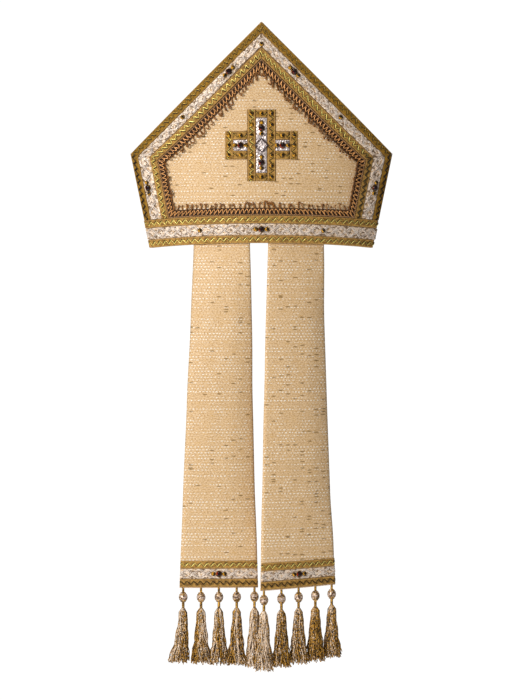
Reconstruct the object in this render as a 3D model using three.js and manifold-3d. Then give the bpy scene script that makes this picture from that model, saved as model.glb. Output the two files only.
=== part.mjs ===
// A bishop's mitre with its two lappets, in millimetres, +Z up.
//
// The crown is two stiff cloth faces joined at the sides, with a soft gusset folded between their
// peaks. The back face is on -Y: it carries the lappets, a braided cross and the stones. The front
// face is on +Y. The origin is the middle of the head opening, level with the ends of the rim.
import * as THREE from 'three';
import { mergeVertices } from 'three/addons/utils/BufferGeometryUtils.js';
import Module from 'manifold-3d';

const wasm = await Module();
wasm.setup();

// Crown
const RIM_HALF_WIDTH = 139;
const SHOULDER_HALF_WIDTH = 163.4;
const SHOULDER_HEIGHT = 117.5;
const PEAK_HEIGHT = 278.5;
const BULGE = 49; // how far each face bows out from the side seams
const RIM_ARCH = 6; // rise of the rim from its ends to its middle
const WALL = 2.4;
const SEAM = 0.2; // each face stops this far from the side seam
const GAP = 0.3; // between pieces that lie on each other

// Bands laid flat on the faces: distances in from the edge, on the sides and on the slants
const TRIM_THICKNESS = 1;
const BORDER = {
  outer_braid: { side: [0.3, 10], slant: [0.3, 10] },
  silver_band: { side: [10.3, 26.2], slant: [10.3, 22] },
  inner_braid: { side: [26.5, 37.6], slant: [22.3, 33.6] },
};
const GIMP = { side: [37.9, 52.4], slant: [33.9, 48.4], rim: [0.3, 14.8] };
const GIMP_THICKNESS = 1.6;
const RIM_BANDS = { lower_braid: [0, 9.6], silver_band: [9.9, 23.9], upper_braid: [24.2, 34.2] };
const RIM_BAND_TOP = 34.2; // above the rim
const RIM_TRIM_THICKNESS = 1.3;

// Cross, laid on the middle of the back face
const CROSS = {
  height: 126.4, // of its middle above the ends of the rim
  uprightHalfLength: 44,
  uprightHalfWidth: 17.8,
  armHalfLength: 44.9,
  armHalfWidth: 17.3,
  insetHalfWidth: 6.7,
  insetHalfLength: 33.9,
  armInset: [17.2, 34.6],
};
const DIAMOND_HALF_DIAGONAL = 8.8;

// Stones
const GARNET = { radius: 3.65, height: 3.2, sides: 8 };
const AMBER = { radius: 2.4, height: 2.2, sides: 6 };
const CLUSTER_PITCH = 6.9; // from a garnet to the ambers beside it

// Lappets and tassels
const LAPPET_TUCK = 22; // length sewn inside the rim
const LAPPET_LENGTH = 421; // from the ends of the rim to the hem
const LAPPET_THICKNESS = 2;
const LAPPET_BANDS = { lower_braid: [0.3, 10.4], silver_band: [10.7, 23], upper_braid: [23.3, 33] };
const HEM_TILT_REACH = 150; // height over which a slanting hem levels out
const TASSEL_INSET = 4.6; // of the end tassels from the lappet's edges
const TASSEL_CORD_RADIUS = 1.3;

// Each row of a lappet: height, sideways shift, half width, turn and half curl in degrees
const LAPPETS = {
  left: {
    arc: -52.6,
    halfWidth: 36.4,
    hemTilt: 0,
    tasselLengths: [95, 96, 97, 98, 101],
    rows: [
      { z: -90, shift: 0, halfWidth: 38.8, turn: -6, curl: 11 },
      { z: -190, shift: -1, halfWidth: 41.9, turn: 1, curl: 13 },
      { z: -310, shift: -2, halfWidth: 45.6, turn: 3, curl: 9 },
      { z: -LAPPET_LENGTH, shift: -2.7, halfWidth: 49, turn: 3, curl: 5 },
    ],
  },
  right: {
    arc: 45.6,
    halfWidth: 35.8,
    hemTilt: 0.045,
    tasselLengths: [101, 98, 96, 95, 92],
    rows: [
      { z: -90, shift: 0, halfWidth: 38.6, turn: 13, curl: 11 },
      { z: -190, shift: 1, halfWidth: 42, turn: 15, curl: 12 },
      { z: -310, shift: 2, halfWidth: 46, turn: 18, curl: 9 },
      { z: -LAPPET_LENGTH, shift: 2.8, halfWidth: 50, turn: 21, curl: 6 },
    ],
  },
};

// Materials
const finish = (color, roughness, metalness = 0) =>
  new THREE.MeshStandardMaterial({ color, roughness, metalness });
const MATERIALS = {
  brocade: finish(0xdcbb8c, 0.75),
  lining: finish(0xd9bc90, 0.85),
  braid: finish(0x946c28, 0.6, 0.3),
  silver: finish(0xc4ac8c, 0.5, 0.4),
  gimp: finish(0x8a6234, 0.65, 0.2),
  garnet: finish(0x3a0808, 0.15),
  amber: finish(0xc08018, 0.2),
  tassel: finish(0x9a7638, 0.6, 0.2),
};

const mitre = new THREE.Group();
mitre.name = 'bishop_mitre';

function addPiece(name, geometry, material) {
  const mesh = new THREE.Mesh(geometry, material);
  mesh.name = name;
  mitre.add(mesh);
  return mesh;
}

// ---- The crown's surface ----------------------------------------------------------------------

const flare = (SHOULDER_HALF_WIDTH - RIM_HALF_WIDTH) / SHOULDER_HEIGHT;
const halfWidthAt = (z) => RIM_HALF_WIDTH + flare * z;
const radiusAt = (z) => (halfWidthAt(z) ** 2 + BULGE ** 2) / (2 * BULGE);
const arcTo = (x, z) => radiusAt(z) * Math.asin(x / radiusAt(z));
const halfArcAt = (z) => arcTo(halfWidthAt(z), z);
const rimAt = (fraction) => RIM_ARCH * (1 - fraction ** 2); // -1 to 1 from side to side
const rimBandTopAt = (arc) => RIM_BAND_TOP + rimAt(arc / halfArcAt(RIM_BAND_TOP));

// A point of a face (side -1 for the back, +1 for the front): arc is measured along the cloth
// from the middle, z is the height, and lift is the distance outside the face.
function crownPoint(side, arc, z, lift = 0) {
  const radius = radiusAt(z);
  const seamAngle = Math.acos((radius - BULGE + SEAM) / (radius + lift));
  const angle = (arc / halfArcAt(z)) * seamAngle;
  return new THREE.Vector3(
    (radius + lift) * Math.sin(angle),
    side * ((radius + lift) * Math.cos(angle) - (radius - BULGE)),
    z,
  );
}

// Turns and places a mesh on the surface that point(a, b) follows, with its own +Z outwards and
// its +X at the given angle from the direction of growing a.
function seatOn(mesh, point, a, b, angle = 0) {
  const step = 0.5;
  const along = point(a + step, b).sub(point(a - step, b)).normalize();
  const up = point(a, b + step).sub(point(a, b - step)).normalize();
  const outward = new THREE.Vector3().crossVectors(along, up).normalize();
  const across = new THREE.Vector3().crossVectors(outward, along);
  const frame = new THREE.Matrix4().makeBasis(along, across, outward);
  mesh.quaternion.setFromRotationMatrix(frame.multiply(new THREE.Matrix4().makeRotationZ(angle)));
  mesh.position.copy(point(a, b));
}

// ---- Closed solids from grids of points -------------------------------------------------------

function solidFrom(points, triangles) {
  let volume = 0;
  for (const [a, b, c] of triangles) {
    volume += points[a].dot(new THREE.Vector3().crossVectors(points[b], points[c]));
  }
  const facing = volume < 0 ? triangles.map(([a, b, c]) => [a, c, b]) : triangles;
  const geometry = new THREE.BufferGeometry();
  geometry.setAttribute('position', new THREE.Float32BufferAttribute(points.flatMap((p) => p.toArray()), 3));
  geometry.setIndex(facing.flat());
  geometry.computeVertexNormals();
  return geometry;
}

// A plate whose outer and inner skins are grids of cells; a cell is there where filled says so.
// A looped plate joins its last column to its first.
function plate({ rows, columns, outer, inner, looped = false, filled = () => true }) {
  const across = looped ? columns : columns + 1;
  const skin = (rows + 1) * across;
  const points = [];
  for (const surface of [outer, inner]) {
    for (let i = 0; i <= rows; i += 1) {
      for (let j = 0; j < across; j += 1) points.push(surface(i / rows, j / columns, i, j));
    }
  }
  const at = (i, j) => i * across + (j % across);
  const inGrid = (i, j) => i >= 0 && i < rows && (looped || (j >= 0 && j < columns));
  const present = (i, j) => inGrid(i, j) && filled(i, j);
  const triangles = [];
  const quad = (a, b, c, d) => triangles.push([a, b, c], [a, c, d]);
  const wall = (a, b) => quad(b, a, a + skin, b + skin);
  for (let i = 0; i < rows; i += 1) {
    for (let j = 0; j < columns; j += 1) {
      if (!present(i, j)) continue;
      const [a, b, c, d] = [at(i, j), at(i, j + 1), at(i + 1, j + 1), at(i + 1, j)];
      quad(a, b, c, d);
      quad(d + skin, c + skin, b + skin, a + skin);
      if (!present(i - 1, j)) wall(a, b);
      if (!present(i + 1, j)) wall(c, d);
      if (!present(i, j - 1)) wall(d, a);
      if (!present(i, j + 1)) wall(b, c);
    }
  }
  const used = [...new Set(triangles.flat())];
  const renumber = new Map(used.map((index, place) => [index, place]));
  const kept = triangles.map((corners) => corners.map((index) => renumber.get(index)));
  return solidFrom(used.map((index) => points[index]), kept);
}

function toManifold(geometry) {
  const bare = new THREE.BufferGeometry();
  bare.setAttribute('position', geometry.getAttribute('position').clone());
  if (geometry.index) bare.setIndex(geometry.index.clone());
  const merged = mergeVertices(bare, 1e-4);
  const vertProperties = new Float32Array(merged.getAttribute('position').array);
  const triVerts = new Uint32Array(merged.index.array);
  return new wasm.Manifold(new wasm.Mesh({ numProp: 3, vertProperties, triVerts }));
}

function join(geometries) {
  const whole = geometries.map(toManifold).reduce((sum, next) => sum.add(next));
  const mesh = whole.getMesh();
  const geometry = new THREE.BufferGeometry();
  geometry.setAttribute('position', new THREE.Float32BufferAttribute(mesh.vertProperties, 3));
  geometry.setIndex(Array.from(mesh.triVerts));
  geometry.computeVertexNormals();
  return geometry;
}

// ---- Crown ------------------------------------------------------------------------------------

const slant = (PEAK_HEIGHT - SHOULDER_HEIGHT) / SHOULDER_HALF_WIDTH;

// Height of a face's top edge at a fraction of the way from the middle to the side. The slants
// are straight seen from the front, so the height is closed in on in a few passes.
function topAt(fraction) {
  const PASSES = 12;
  let z = PEAK_HEIGHT;
  for (let pass = 0; pass < PASSES; pass += 1) {
    z = PEAK_HEIGHT - slant * Math.abs(crownPoint(1, fraction * halfArcAt(z), z).x);
  }
  return z;
}

function facePanel(side) {
  const point = (lift) => (v, u) => {
    const across = 2 * u - 1;
    const z = THREE.MathUtils.lerp(rimAt(across), topAt(across), v);
    return crownPoint(side, across * halfArcAt(z), z, lift);
  };
  return plate({ rows: 8, columns: 26, outer: point(0), inner: point(-WALL) });
}

// The gusset hangs from the inner edges of both faces and folds down to a valley between them.
function gusset() {
  const THICKNESS = 1.2;
  const END_INSET = 9;
  const ROUNDING = 0.12; // of the fold, as a fraction of the half depth
  const EDGE_DROP = 1;
  const clearance = WALL + GAP + 0.2 + THICKNESS;
  const reach = SHOULDER_HALF_WIDTH - END_INSET;
  const sheet = (v, u) => {
    const x = reach * (2 * u - 1);
    const edge = PEAK_HEIGHT - slant * Math.abs(x) - EDGE_DROP;
    const inner = radiusAt(edge) - clearance;
    const halfSpan = Math.sqrt(inner ** 2 - x ** 2) - (radiusAt(edge) - BULGE);
    const cloth = edge + EDGE_DROP - SHOULDER_HEIGHT; // half the gusset's own depth here
    const valley = edge - Math.sqrt(Math.max(cloth ** 2 - halfSpan ** 2, 0));
    const across = 2 * v - 1;
    const rise = (Math.hypot(across, ROUNDING) - ROUNDING) / (Math.hypot(1, ROUNDING) - ROUNDING);
    return new THREE.Vector3(x, halfSpan * across, THREE.MathUtils.lerp(valley, edge, rise));
  };
  const under = (v, u) => {
    const step = 0.01;
    const alongX = sheet(v, Math.min(u + step, 1)).sub(sheet(v, Math.max(u - step, 0)));
    const alongY = sheet(Math.min(v + step, 1), u).sub(sheet(Math.max(v - step, 0), u));
    const normal = alongX.cross(alongY).normalize();
    return sheet(v, u).addScaledVector(normal, -THICKNESS);
  };
  return plate({ rows: 12, columns: 20, outer: sheet, inner: under });
}

// ---- Bands on the faces -----------------------------------------------------------------------

// The right half of a line that runs in from a face's edge by given distances, from its foot on
// the rim band up the side and along the slant to the middle, as [arc, z] on the cloth.
const SIDE_STEPS = 6;
const SLANT_STEPS = 16;
function halfBorderLine(sideInset, slantInset, rimInset) {
  const shoulder = new THREE.Vector2(halfArcAt(SHOULDER_HEIGHT), SHOULDER_HEIGHT);
  const rimEnd = new THREE.Vector2(halfArcAt(0), 0);
  const peak = new THREE.Vector2(0, PEAK_HEIGHT);
  const inwardFrom = (from, to) => {
    const along = to.clone().sub(from).normalize();
    return new THREE.Vector2(-along.y, along.x);
  };
  const sideIn = inwardFrom(rimEnd, shoulder);
  const slantIn = inwardFrom(shoulder, peak);
  const determinant = sideIn.x * slantIn.y - sideIn.y * slantIn.x;
  const corner = new THREE.Vector2(
    shoulder.x + (sideInset * slantIn.y - slantInset * sideIn.y) / determinant,
    shoulder.y + (slantInset * sideIn.x - sideInset * slantIn.x) / determinant,
  );
  const sideArc = (z) => shoulder.x + (sideInset - (z - shoulder.y) * sideIn.y) / sideIn.x;
  const footHeight = rimBandTopAt(sideArc(RIM_BAND_TOP)) + rimInset;
  const foot = new THREE.Vector2(sideArc(footHeight), footHeight);
  const top = new THREE.Vector2(0, shoulder.y + (slantInset + shoulder.x * slantIn.x) / slantIn.y);

  // The true edges bow a little from straight lines on the cloth, and the bands bow with them
  const sideBow = (z) => halfArcAt(z) - THREE.MathUtils.mapLinear(z, 0, shoulder.y, rimEnd.x, shoulder.x);
  const slantBow = (t) => {
    const z = THREE.MathUtils.lerp(SHOULDER_HEIGHT, PEAK_HEIGHT, t);
    return arcTo((PEAK_HEIGHT - z) / slant, z) - shoulder.x * (1 - t);
  };
  const line = [];
  for (let step = 0; step < SIDE_STEPS; step += 1) {
    const place = foot.clone().lerp(corner, step / SIDE_STEPS);
    line.push([place.x + sideBow(Math.min(place.y, SHOULDER_HEIGHT)), place.y]);
  }
  for (let step = 0; step <= SLANT_STEPS; step += 1) {
    const t = step / SLANT_STEPS;
    const place = corner.clone().lerp(top, t);
    line.push([place.x + (step < SLANT_STEPS ? slantBow(t) : 0), place.y]);
  }
  return line;
}

const mirrored = (line) => line.map(([arc, z]) => [-arc, z]);

function borderLine(sideInset, slantInset, rimInset = GAP) {
  const half = halfBorderLine(sideInset, slantInset, rimInset);
  return [...half, ...mirrored(half).reverse().slice(1)];
}

// A strip laid on a face between two lines of [arc, z]
function stripBetween(side, [near, far], thickness, looped = false) {
  const ROWS = 2;
  const columns = looped ? near.length : near.length - 1;
  const point = (lift) => (v, u, i, j) => {
    const arc = THREE.MathUtils.lerp(near[j][0], far[j][0], v);
    const z = THREE.MathUtils.lerp(near[j][1], far[j][1], v);
    return crownPoint(side, arc, z, lift);
  };
  return plate({ rows: ROWS, columns, outer: point(GAP + thickness), inner: point(GAP), looped });
}

function borderBand(side, { side: sides, slant: slants }) {
  const lines = [0, 1].map((edge) => borderLine(sides[edge], slants[edge]));
  return stripBetween(side, lines, TRIM_THICKNESS);
}

// The gimp frames the whole field: up the sides, over the slants and along the rim band.
function gimpBorder(side) {
  const RIM_STEPS = 16;
  const lines = [0, 1].map((edge) => {
    const upper = borderLine(GIMP.side[edge], GIMP.slant[edge], GIMP.rim[edge]);
    const [footArc] = upper[0];
    const run = [];
    for (let step = 1; step < RIM_STEPS; step += 1) {
      const arc = THREE.MathUtils.lerp(-footArc, footArc, step / RIM_STEPS);
      run.push([arc, rimBandTopAt(arc) + GIMP.rim[edge]]);
    }
    return [...upper, ...run];
  });
  return stripBetween(side, lines, GIMP_THICKNESS, true);
}

function rimRing([low, high]) {
  const STEPS = 26; // on each face
  const point = (lift) => (v, u, i, j) => {
    const side = j <= STEPS ? -1 : 1;
    const turn = side < 0 ? j : 2 * STEPS + 1 - j;
    const fraction = (2 * turn) / STEPS - 1;
    const z = rimAt(fraction) + (i === 0 ? low : high);
    return crownPoint(side, fraction * halfArcAt(z), z, lift);
  };
  return plate({
    rows: 1,
    columns: 2 * STEPS + 2,
    outer: point(GAP + RIM_TRIM_THICKNESS),
    inner: point(GAP),
    looped: true,
  });
}

// ---- Stones -----------------------------------------------------------------------------------

function stone({ radius, height, sides }, x = 0) {
  const profile = [[0, 0], [radius, 0], [radius, 0.35 * height], [0.6 * radius, height], [0, height]];
  const geometry = new THREE.LatheGeometry(profile.map(([r, z]) => new THREE.Vector2(r, z)), sides);
  return geometry.rotateX(Math.PI / 2).translate(x, 0, 0);
}

// A garnet between two ambers, held on one bar of gold wire
function stoneCluster() {
  const BAR = [2 * CLUSTER_PITCH, 1, 0.8];
  const bar = new THREE.BoxGeometry(...BAR).translate(0, 0, BAR[2] / 2);
  const ambers = [-CLUSTER_PITCH, CLUSTER_PITCH].map((x) => stone(AMBER, x));
  return join([bar, stone(GARNET), ...ambers]);
}

const stoneLift = GAP + TRIM_THICKNESS + GAP;
const onBack = (lift) => (arc, z) => crownPoint(-1, arc, z, lift);

function seatStone(name, kind, point, a, b, angle = 0) {
  const cluster = kind === 'cluster';
  const mesh = addPiece(name, cluster ? stoneCluster() : stone(AMBER), MATERIALS[cluster ? 'garnet' : 'amber']);
  seatOn(mesh, point, a, b, angle);
}

// The silver band's middle line on the right of the back face, at a given height
function silverMiddle(z) {
  const middle = ([near, far]) => (near + far) / 2;
  const line = halfBorderLine(middle(BORDER.silver_band.side), middle(BORDER.silver_band.slant), GAP);
  const end = line.findIndex(([, height]) => height >= z);
  const [[arc0, z0], [arc1, z1]] = [line[end - 1], line[end]];
  return { arc: THREE.MathUtils.mapLinear(z, z0, z1, arc0, arc1), angle: Math.atan2(z1 - z0, arc1 - arc0) };
}

function borderStones() {
  const SEATS = [
    { place: 'side', kind: 'cluster', z: 74.5 },
    { place: 'slant_low', kind: 'amber', z: 161.6 },
    { place: 'slant_high', kind: 'cluster', z: 217.2 },
  ];
  for (const { place, kind, z } of SEATS) {
    const { arc, angle } = silverMiddle(z);
    seatStone(`stone_${place}_left`, kind, onBack(stoneLift), -arc, z, Math.PI - angle);
    seatStone(`stone_${place}_right`, kind, onBack(stoneLift), arc, z, angle);
  }
  const PEAK_STONE_HEIGHT = 251;
  seatStone('stone_peak', 'amber', onBack(stoneLift), 0, PEAK_STONE_HEIGHT);
}

function rimStones() {
  const SIDE_ARC = 76;
  const lift = GAP + RIM_TRIM_THICKNESS + GAP;
  const middle = (RIM_BANDS.silver_band[0] + RIM_BANDS.silver_band[1]) / 2;
  const seats = { left: -SIDE_ARC, middle: 0, right: SIDE_ARC };
  for (const [place, arc] of Object.entries(seats)) {
    const kind = arc === 0 ? 'cluster' : 'amber';
    seatStone(`stone_rim_${place}`, kind, onBack(lift), arc, rimAt(arc / halfArcAt(middle)) + middle);
  }
}

// ---- Cross ------------------------------------------------------------------------------------

function crossPlate(arcs, heights, filled, lift, thickness) {
  const point = (height) => (v, u, i, j) => crownPoint(-1, arcs[j], CROSS.height + heights[i], height);
  return plate({
    rows: heights.length - 1,
    columns: arcs.length - 1,
    outer: point(lift + thickness),
    inner: point(lift),
    filled: (i, j) => filled((arcs[j] + arcs[j + 1]) / 2, (heights[i] + heights[i + 1]) / 2),
  });
}

function crossBraid() {
  const { uprightHalfLength, uprightHalfWidth, armHalfLength, armHalfWidth } = CROSS;
  const { insetHalfWidth, insetHalfLength, armInset } = CROSS;
  const both = (values) => [...values.map((value) => -value).reverse(), ...values];
  const arcs = both([insetHalfWidth, 12, armInset[0], uprightHalfWidth, 26, armInset[1], 40, armHalfLength]);
  const heights = both([insetHalfWidth, armHalfWidth, insetHalfLength, uprightHalfLength]);
  const filled = (arc, height) => {
    const [a, h] = [Math.abs(arc), Math.abs(height)];
    const onUpright = a < uprightHalfWidth && h < uprightHalfLength;
    const onArm = a < armHalfLength && h < armHalfWidth;
    const inUprightInset = a < insetHalfWidth && h < insetHalfLength;
    const inArmInset = a > armInset[0] && a < armInset[1] && h < insetHalfWidth;
    return (onUpright || onArm) && !inUprightInset && !inArmInset;
  };
  const braid = crossPlate(arcs, heights, filled, GAP, TRIM_THICKNESS);
  const SUNK = 0.3; // how deep an amber sits in the braid
  const seats = [[0, 39], [12.2, 39], [12.2, 25.5], [12.2, 12.3], [25.4, 12], [40, 12], [40, 0]];
  const places = new Set();
  for (const [arc, height] of seats) {
    for (const across of [-1, 1]) {
      for (const up of [-1, 1]) places.add(`${across * arc + 0},${up * height + 0}`);
    }
  }
  const ambers = [...places].map((place) => {
    const [arc, height] = place.split(',').map(Number);
    const mesh = new THREE.Mesh(stone(AMBER));
    seatOn(mesh, onBack(GAP + TRIM_THICKNESS - SUNK), arc, CROSS.height + height);
    mesh.updateMatrix();
    return mesh.geometry.applyMatrix4(mesh.matrix);
  });
  return join([braid, ...ambers]);
}

function crossInset(arcLow, arcHigh, halfHeight) {
  const STEPS = 3;
  const arcs = Array.from({ length: STEPS + 1 }, (_, k) => THREE.MathUtils.lerp(arcLow, arcHigh, k / STEPS));
  return crossPlate(arcs, [-halfHeight, 0, halfHeight], () => true, GAP, TRIM_THICKNESS);
}

function crossPieces() {
  const halfWidth = CROSS.insetHalfWidth - GAP;
  const [near, far] = [CROSS.armInset[0] + GAP, CROSS.armInset[1] - GAP];
  addPiece('cross_braid', crossBraid(), MATERIALS.braid);
  addPiece('cross_silver_upright', crossInset(-halfWidth, halfWidth, CROSS.insetHalfLength - GAP), MATERIALS.silver);
  addPiece('cross_silver_left', crossInset(-far, -near, halfWidth), MATERIALS.silver);
  addPiece('cross_silver_right', crossInset(near, far, halfWidth), MATERIALS.silver);

  const DIAMOND_THICKNESS = 1.8;
  const side = DIAMOND_HALF_DIAGONAL * Math.SQRT2;
  const frame = new THREE.BoxGeometry(side, side, DIAMOND_THICKNESS).rotateZ(Math.PI / 4);
  const diamond = addPiece('cross_diamond', frame.translate(0, 0, DIAMOND_THICKNESS / 2), MATERIALS.silver);
  seatOn(diamond, onBack(stoneLift), 0, CROSS.height);

  const REACH = { upright: 21.2, arm: 25.6 };
  const upright = Math.PI / 2;
  const seat = (place, arc, height, angle) =>
    seatStone(`stone_cross_${place}`, 'cluster', onBack(stoneLift), arc, CROSS.height + height, angle);
  seat('top', 0, REACH.upright, upright);
  seat('bottom', 0, -REACH.upright, upright);
  seat('left', -REACH.arm, 0, 0);
  seat('right', REACH.arm, 0, 0);
}

// ---- Lappets ----------------------------------------------------------------------------------

// A point of a lappet: across runs -1 to 1 from its left edge, height is above its hem, and lift
// is the distance in front of its decorated side. Inside the rim it follows the back face.
function lappetPoint(lappet, across, height, lift = 0) {
  const faceLift = -(WALL + GAP + 0.1);
  const level = height - LAPPET_LENGTH;
  if (level >= 0) return crownPoint(-1, lappet.arc + across * lappet.halfWidth, level, faceLift + lift);

  const radius = radiusAt(0) + faceLift;
  const top = {
    z: 0,
    shift: 0,
    halfWidth: lappet.halfWidth,
    turn: THREE.MathUtils.radToDeg(lappet.arc / radiusAt(0)),
    curl: THREE.MathUtils.radToDeg(lappet.halfWidth / radius),
  };
  const rows = [top, ...lappet.rows];
  const next = Math.max(rows.findIndex(({ z }) => level >= z), 1);
  const [upper, lower] = [rows[next - 1], rows[next]];
  const t = THREE.MathUtils.smoothstep(level, lower.z, upper.z);
  const linear = THREE.MathUtils.mapLinear(level, lower.z, upper.z, 0, 1);
  const eased = (key) => THREE.MathUtils.lerp(lower[key], upper[key], t);
  const halfWidth = THREE.MathUtils.lerp(lower.halfWidth, upper.halfWidth, linear);
  const turn = THREE.MathUtils.degToRad(eased('turn'));
  const curl = THREE.MathUtils.degToRad(eased('curl'));
  const bend = halfWidth / curl; // radius of the lappet's own curl
  const angle = turn + across * curl;
  const root = crownPoint(-1, lappet.arc, 0, faceLift);
  const tilt = lappet.hemTilt * across * halfWidth * Math.max(1 - height / HEM_TILT_REACH, 0);
  return new THREE.Vector3(
    root.x + eased('shift') + (bend + lift) * Math.sin(angle) - bend * Math.sin(turn),
    root.y - (bend + lift) * Math.cos(angle) + bend * Math.cos(turn),
    level + tilt,
  );
}

function lappetStrip(lappet, low, high, back, front, rows) {
  const COLUMNS = 8;
  const point = (lift) => (v, u) => lappetPoint(lappet, 2 * u - 1, THREE.MathUtils.lerp(low, high, v), lift);
  return plate({ rows, columns: COLUMNS, outer: point(front), inner: point(back) });
}

// The tassel's outline from its top at 0 down: hanging cord, wound bead, neck and spread skirt
function tasselProfile(length) {
  const BEAD = { top: 6, middle: 12, bottom: 18, radius: 4.5 };
  const NECK = 26;
  const rows = [
    { drop: 0, radius: TASSEL_CORD_RADIUS },
    { drop: BEAD.top, radius: TASSEL_CORD_RADIUS },
    { drop: BEAD.top + 1.5, radius: 3.4 },
    { drop: BEAD.middle, radius: BEAD.radius },
    { drop: BEAD.bottom - 1.5, radius: 3.4 },
    { drop: BEAD.bottom, radius: TASSEL_CORD_RADIUS },
    { drop: NECK, radius: TASSEL_CORD_RADIUS },
    { drop: NECK + 2, radius: 4 },
    { drop: NECK + 12, radius: 5.2 },
    { drop: THREE.MathUtils.lerp(NECK, length, 0.6), radius: 7.4 },
    { drop: length, radius: 9.8 },
  ];
  const outline = rows.map(({ drop, radius }) => new THREE.Vector2(radius, -drop));
  return [new THREE.Vector2(0, 0), ...outline, new THREE.Vector2(0, -length)].reverse();
}

function lappetPieces(name, lappet) {
  const ROWS = 22;
  const cloth = lappetStrip(lappet, 0, LAPPET_LENGTH + LAPPET_TUCK, -LAPPET_THICKNESS, 0, ROWS);
  addPiece(`lappet_${name}`, cloth, MATERIALS.brocade);
  for (const [band, [low, high]] of Object.entries(LAPPET_BANDS)) {
    const strip = lappetStrip(lappet, low, high, GAP, GAP + TRIM_THICKNESS, 1);
    addPiece(`lappet_${name}_${band}`, strip, band === 'silver_band' ? MATERIALS.silver : MATERIALS.braid);
  }
  const point = (across, height) => lappetPoint(lappet, across / lappet.halfWidth, height, stoneLift);
  const silverMiddleHeight = (LAPPET_BANDS.silver_band[0] + LAPPET_BANDS.silver_band[1]) / 2;
  seatStone(`stone_lappet_${name}`, 'cluster', point, 0, silverMiddleHeight);

  const TASSEL_SIDES = 8;
  const hemHalfWidth = lappet.rows.at(-1).halfWidth;
  const reach = (hemHalfWidth - TASSEL_INSET) / hemHalfWidth;
  lappet.tasselLengths.forEach((length, index) => {
    const across = reach * ((2 * index) / (lappet.tasselLengths.length - 1) - 1);
    const outline = tasselProfile(length);
    const tassel = new THREE.LatheGeometry(outline, TASSEL_SIDES).rotateX(Math.PI / 2);
    const mesh = addPiece(`tassel_${name}_${index + 1}`, tassel, MATERIALS.tassel);
    mesh.position.copy(lappetPoint(lappet, across, 0, -LAPPET_THICKNESS / 2));
    mesh.position.z -= GAP;
  });
}

// ---- Assembly ---------------------------------------------------------------------------------

for (const [face, side] of [['back', -1], ['front', 1]]) {
  addPiece(`${face}_panel`, facePanel(side), MATERIALS.brocade);
  for (const [band, insets] of Object.entries(BORDER)) {
    const material = band === 'silver_band' ? MATERIALS.silver : MATERIALS.braid;
    addPiece(`${face}_${band}`, borderBand(side, insets), material);
  }
  addPiece(`${face}_gimp`, gimpBorder(side), MATERIALS.gimp);
}
addPiece('crown_gusset', gusset(), MATERIALS.lining);
for (const [band, heights] of Object.entries(RIM_BANDS)) {
  addPiece(`rim_${band}`, rimRing(heights), band === 'silver_band' ? MATERIALS.silver : MATERIALS.braid);
}
crossPieces();
borderStones();
rimStones();
for (const [name, lappet] of Object.entries(LAPPETS)) lappetPieces(name, lappet);

export default mitre;
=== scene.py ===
"""A bishop's mitre with its two lappets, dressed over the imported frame, in metres and +Z up.

The crown's cloth faces, the gusset between them and the lappets are thin shells on the crown's own
curves. Braids, silver bands, gimp and cords are ribbons with threads that Geometry Nodes lay along
them. The back face, on -Y, carries the cross, the stones and the lappets.
"""
import logging
import math
from collections.abc import Callable, Sequence
from dataclasses import dataclass, field
from enum import Enum
from typing import ClassVar

import bmesh
import bpy
import numpy as np
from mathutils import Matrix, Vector


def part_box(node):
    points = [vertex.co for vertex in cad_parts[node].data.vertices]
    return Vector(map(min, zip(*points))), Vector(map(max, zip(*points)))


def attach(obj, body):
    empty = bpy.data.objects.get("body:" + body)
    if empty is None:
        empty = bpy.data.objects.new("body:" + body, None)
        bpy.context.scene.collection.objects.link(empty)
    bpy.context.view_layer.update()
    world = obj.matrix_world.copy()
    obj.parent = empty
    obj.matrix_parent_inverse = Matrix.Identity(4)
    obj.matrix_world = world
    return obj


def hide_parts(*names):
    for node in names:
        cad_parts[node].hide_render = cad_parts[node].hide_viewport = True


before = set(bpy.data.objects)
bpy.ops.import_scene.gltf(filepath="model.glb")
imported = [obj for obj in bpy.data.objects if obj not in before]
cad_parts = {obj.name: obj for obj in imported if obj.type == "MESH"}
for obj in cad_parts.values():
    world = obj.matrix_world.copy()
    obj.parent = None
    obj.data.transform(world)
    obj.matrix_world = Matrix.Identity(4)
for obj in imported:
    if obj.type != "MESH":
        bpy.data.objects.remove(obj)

LOG = logging.getLogger("mitre")
MM = 0.001
BACK, FRONT = -1, 1

Array = np.ndarray
Colour = tuple[float, float, float, float]
Chart = Callable[[Array, Array, Array], Array]
Shape = tuple[Array, list[tuple[int, ...]]]


def rgb(red: int, green: int, blue: int) -> Colour:
    """Turns an everyday colour, 0 to 255, into the linear colour that a socket takes."""

    def linear(part: int) -> float:
        """One part of it, by the usual display curve."""
        return part / 255 / 12.92 if part < 11 else ((part / 255 + 0.055) / 1.055) ** 2.4

    return (linear(red), linear(green), linear(blue), 1.0)


def unit(vectors: Array) -> Array:
    """Scales each vector to a length of one."""
    return vectors / np.maximum(np.linalg.norm(vectors, axis=-1, keepdims=True), 1e-12)


def smooth(value: Array) -> Array:
    """Eases 0 to 1 in and out."""
    held = np.clip(value, 0, 1)
    return held * held * (3 - 2 * held)


# ---- Node trees -----------------------------------------------------------------------------------


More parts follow.
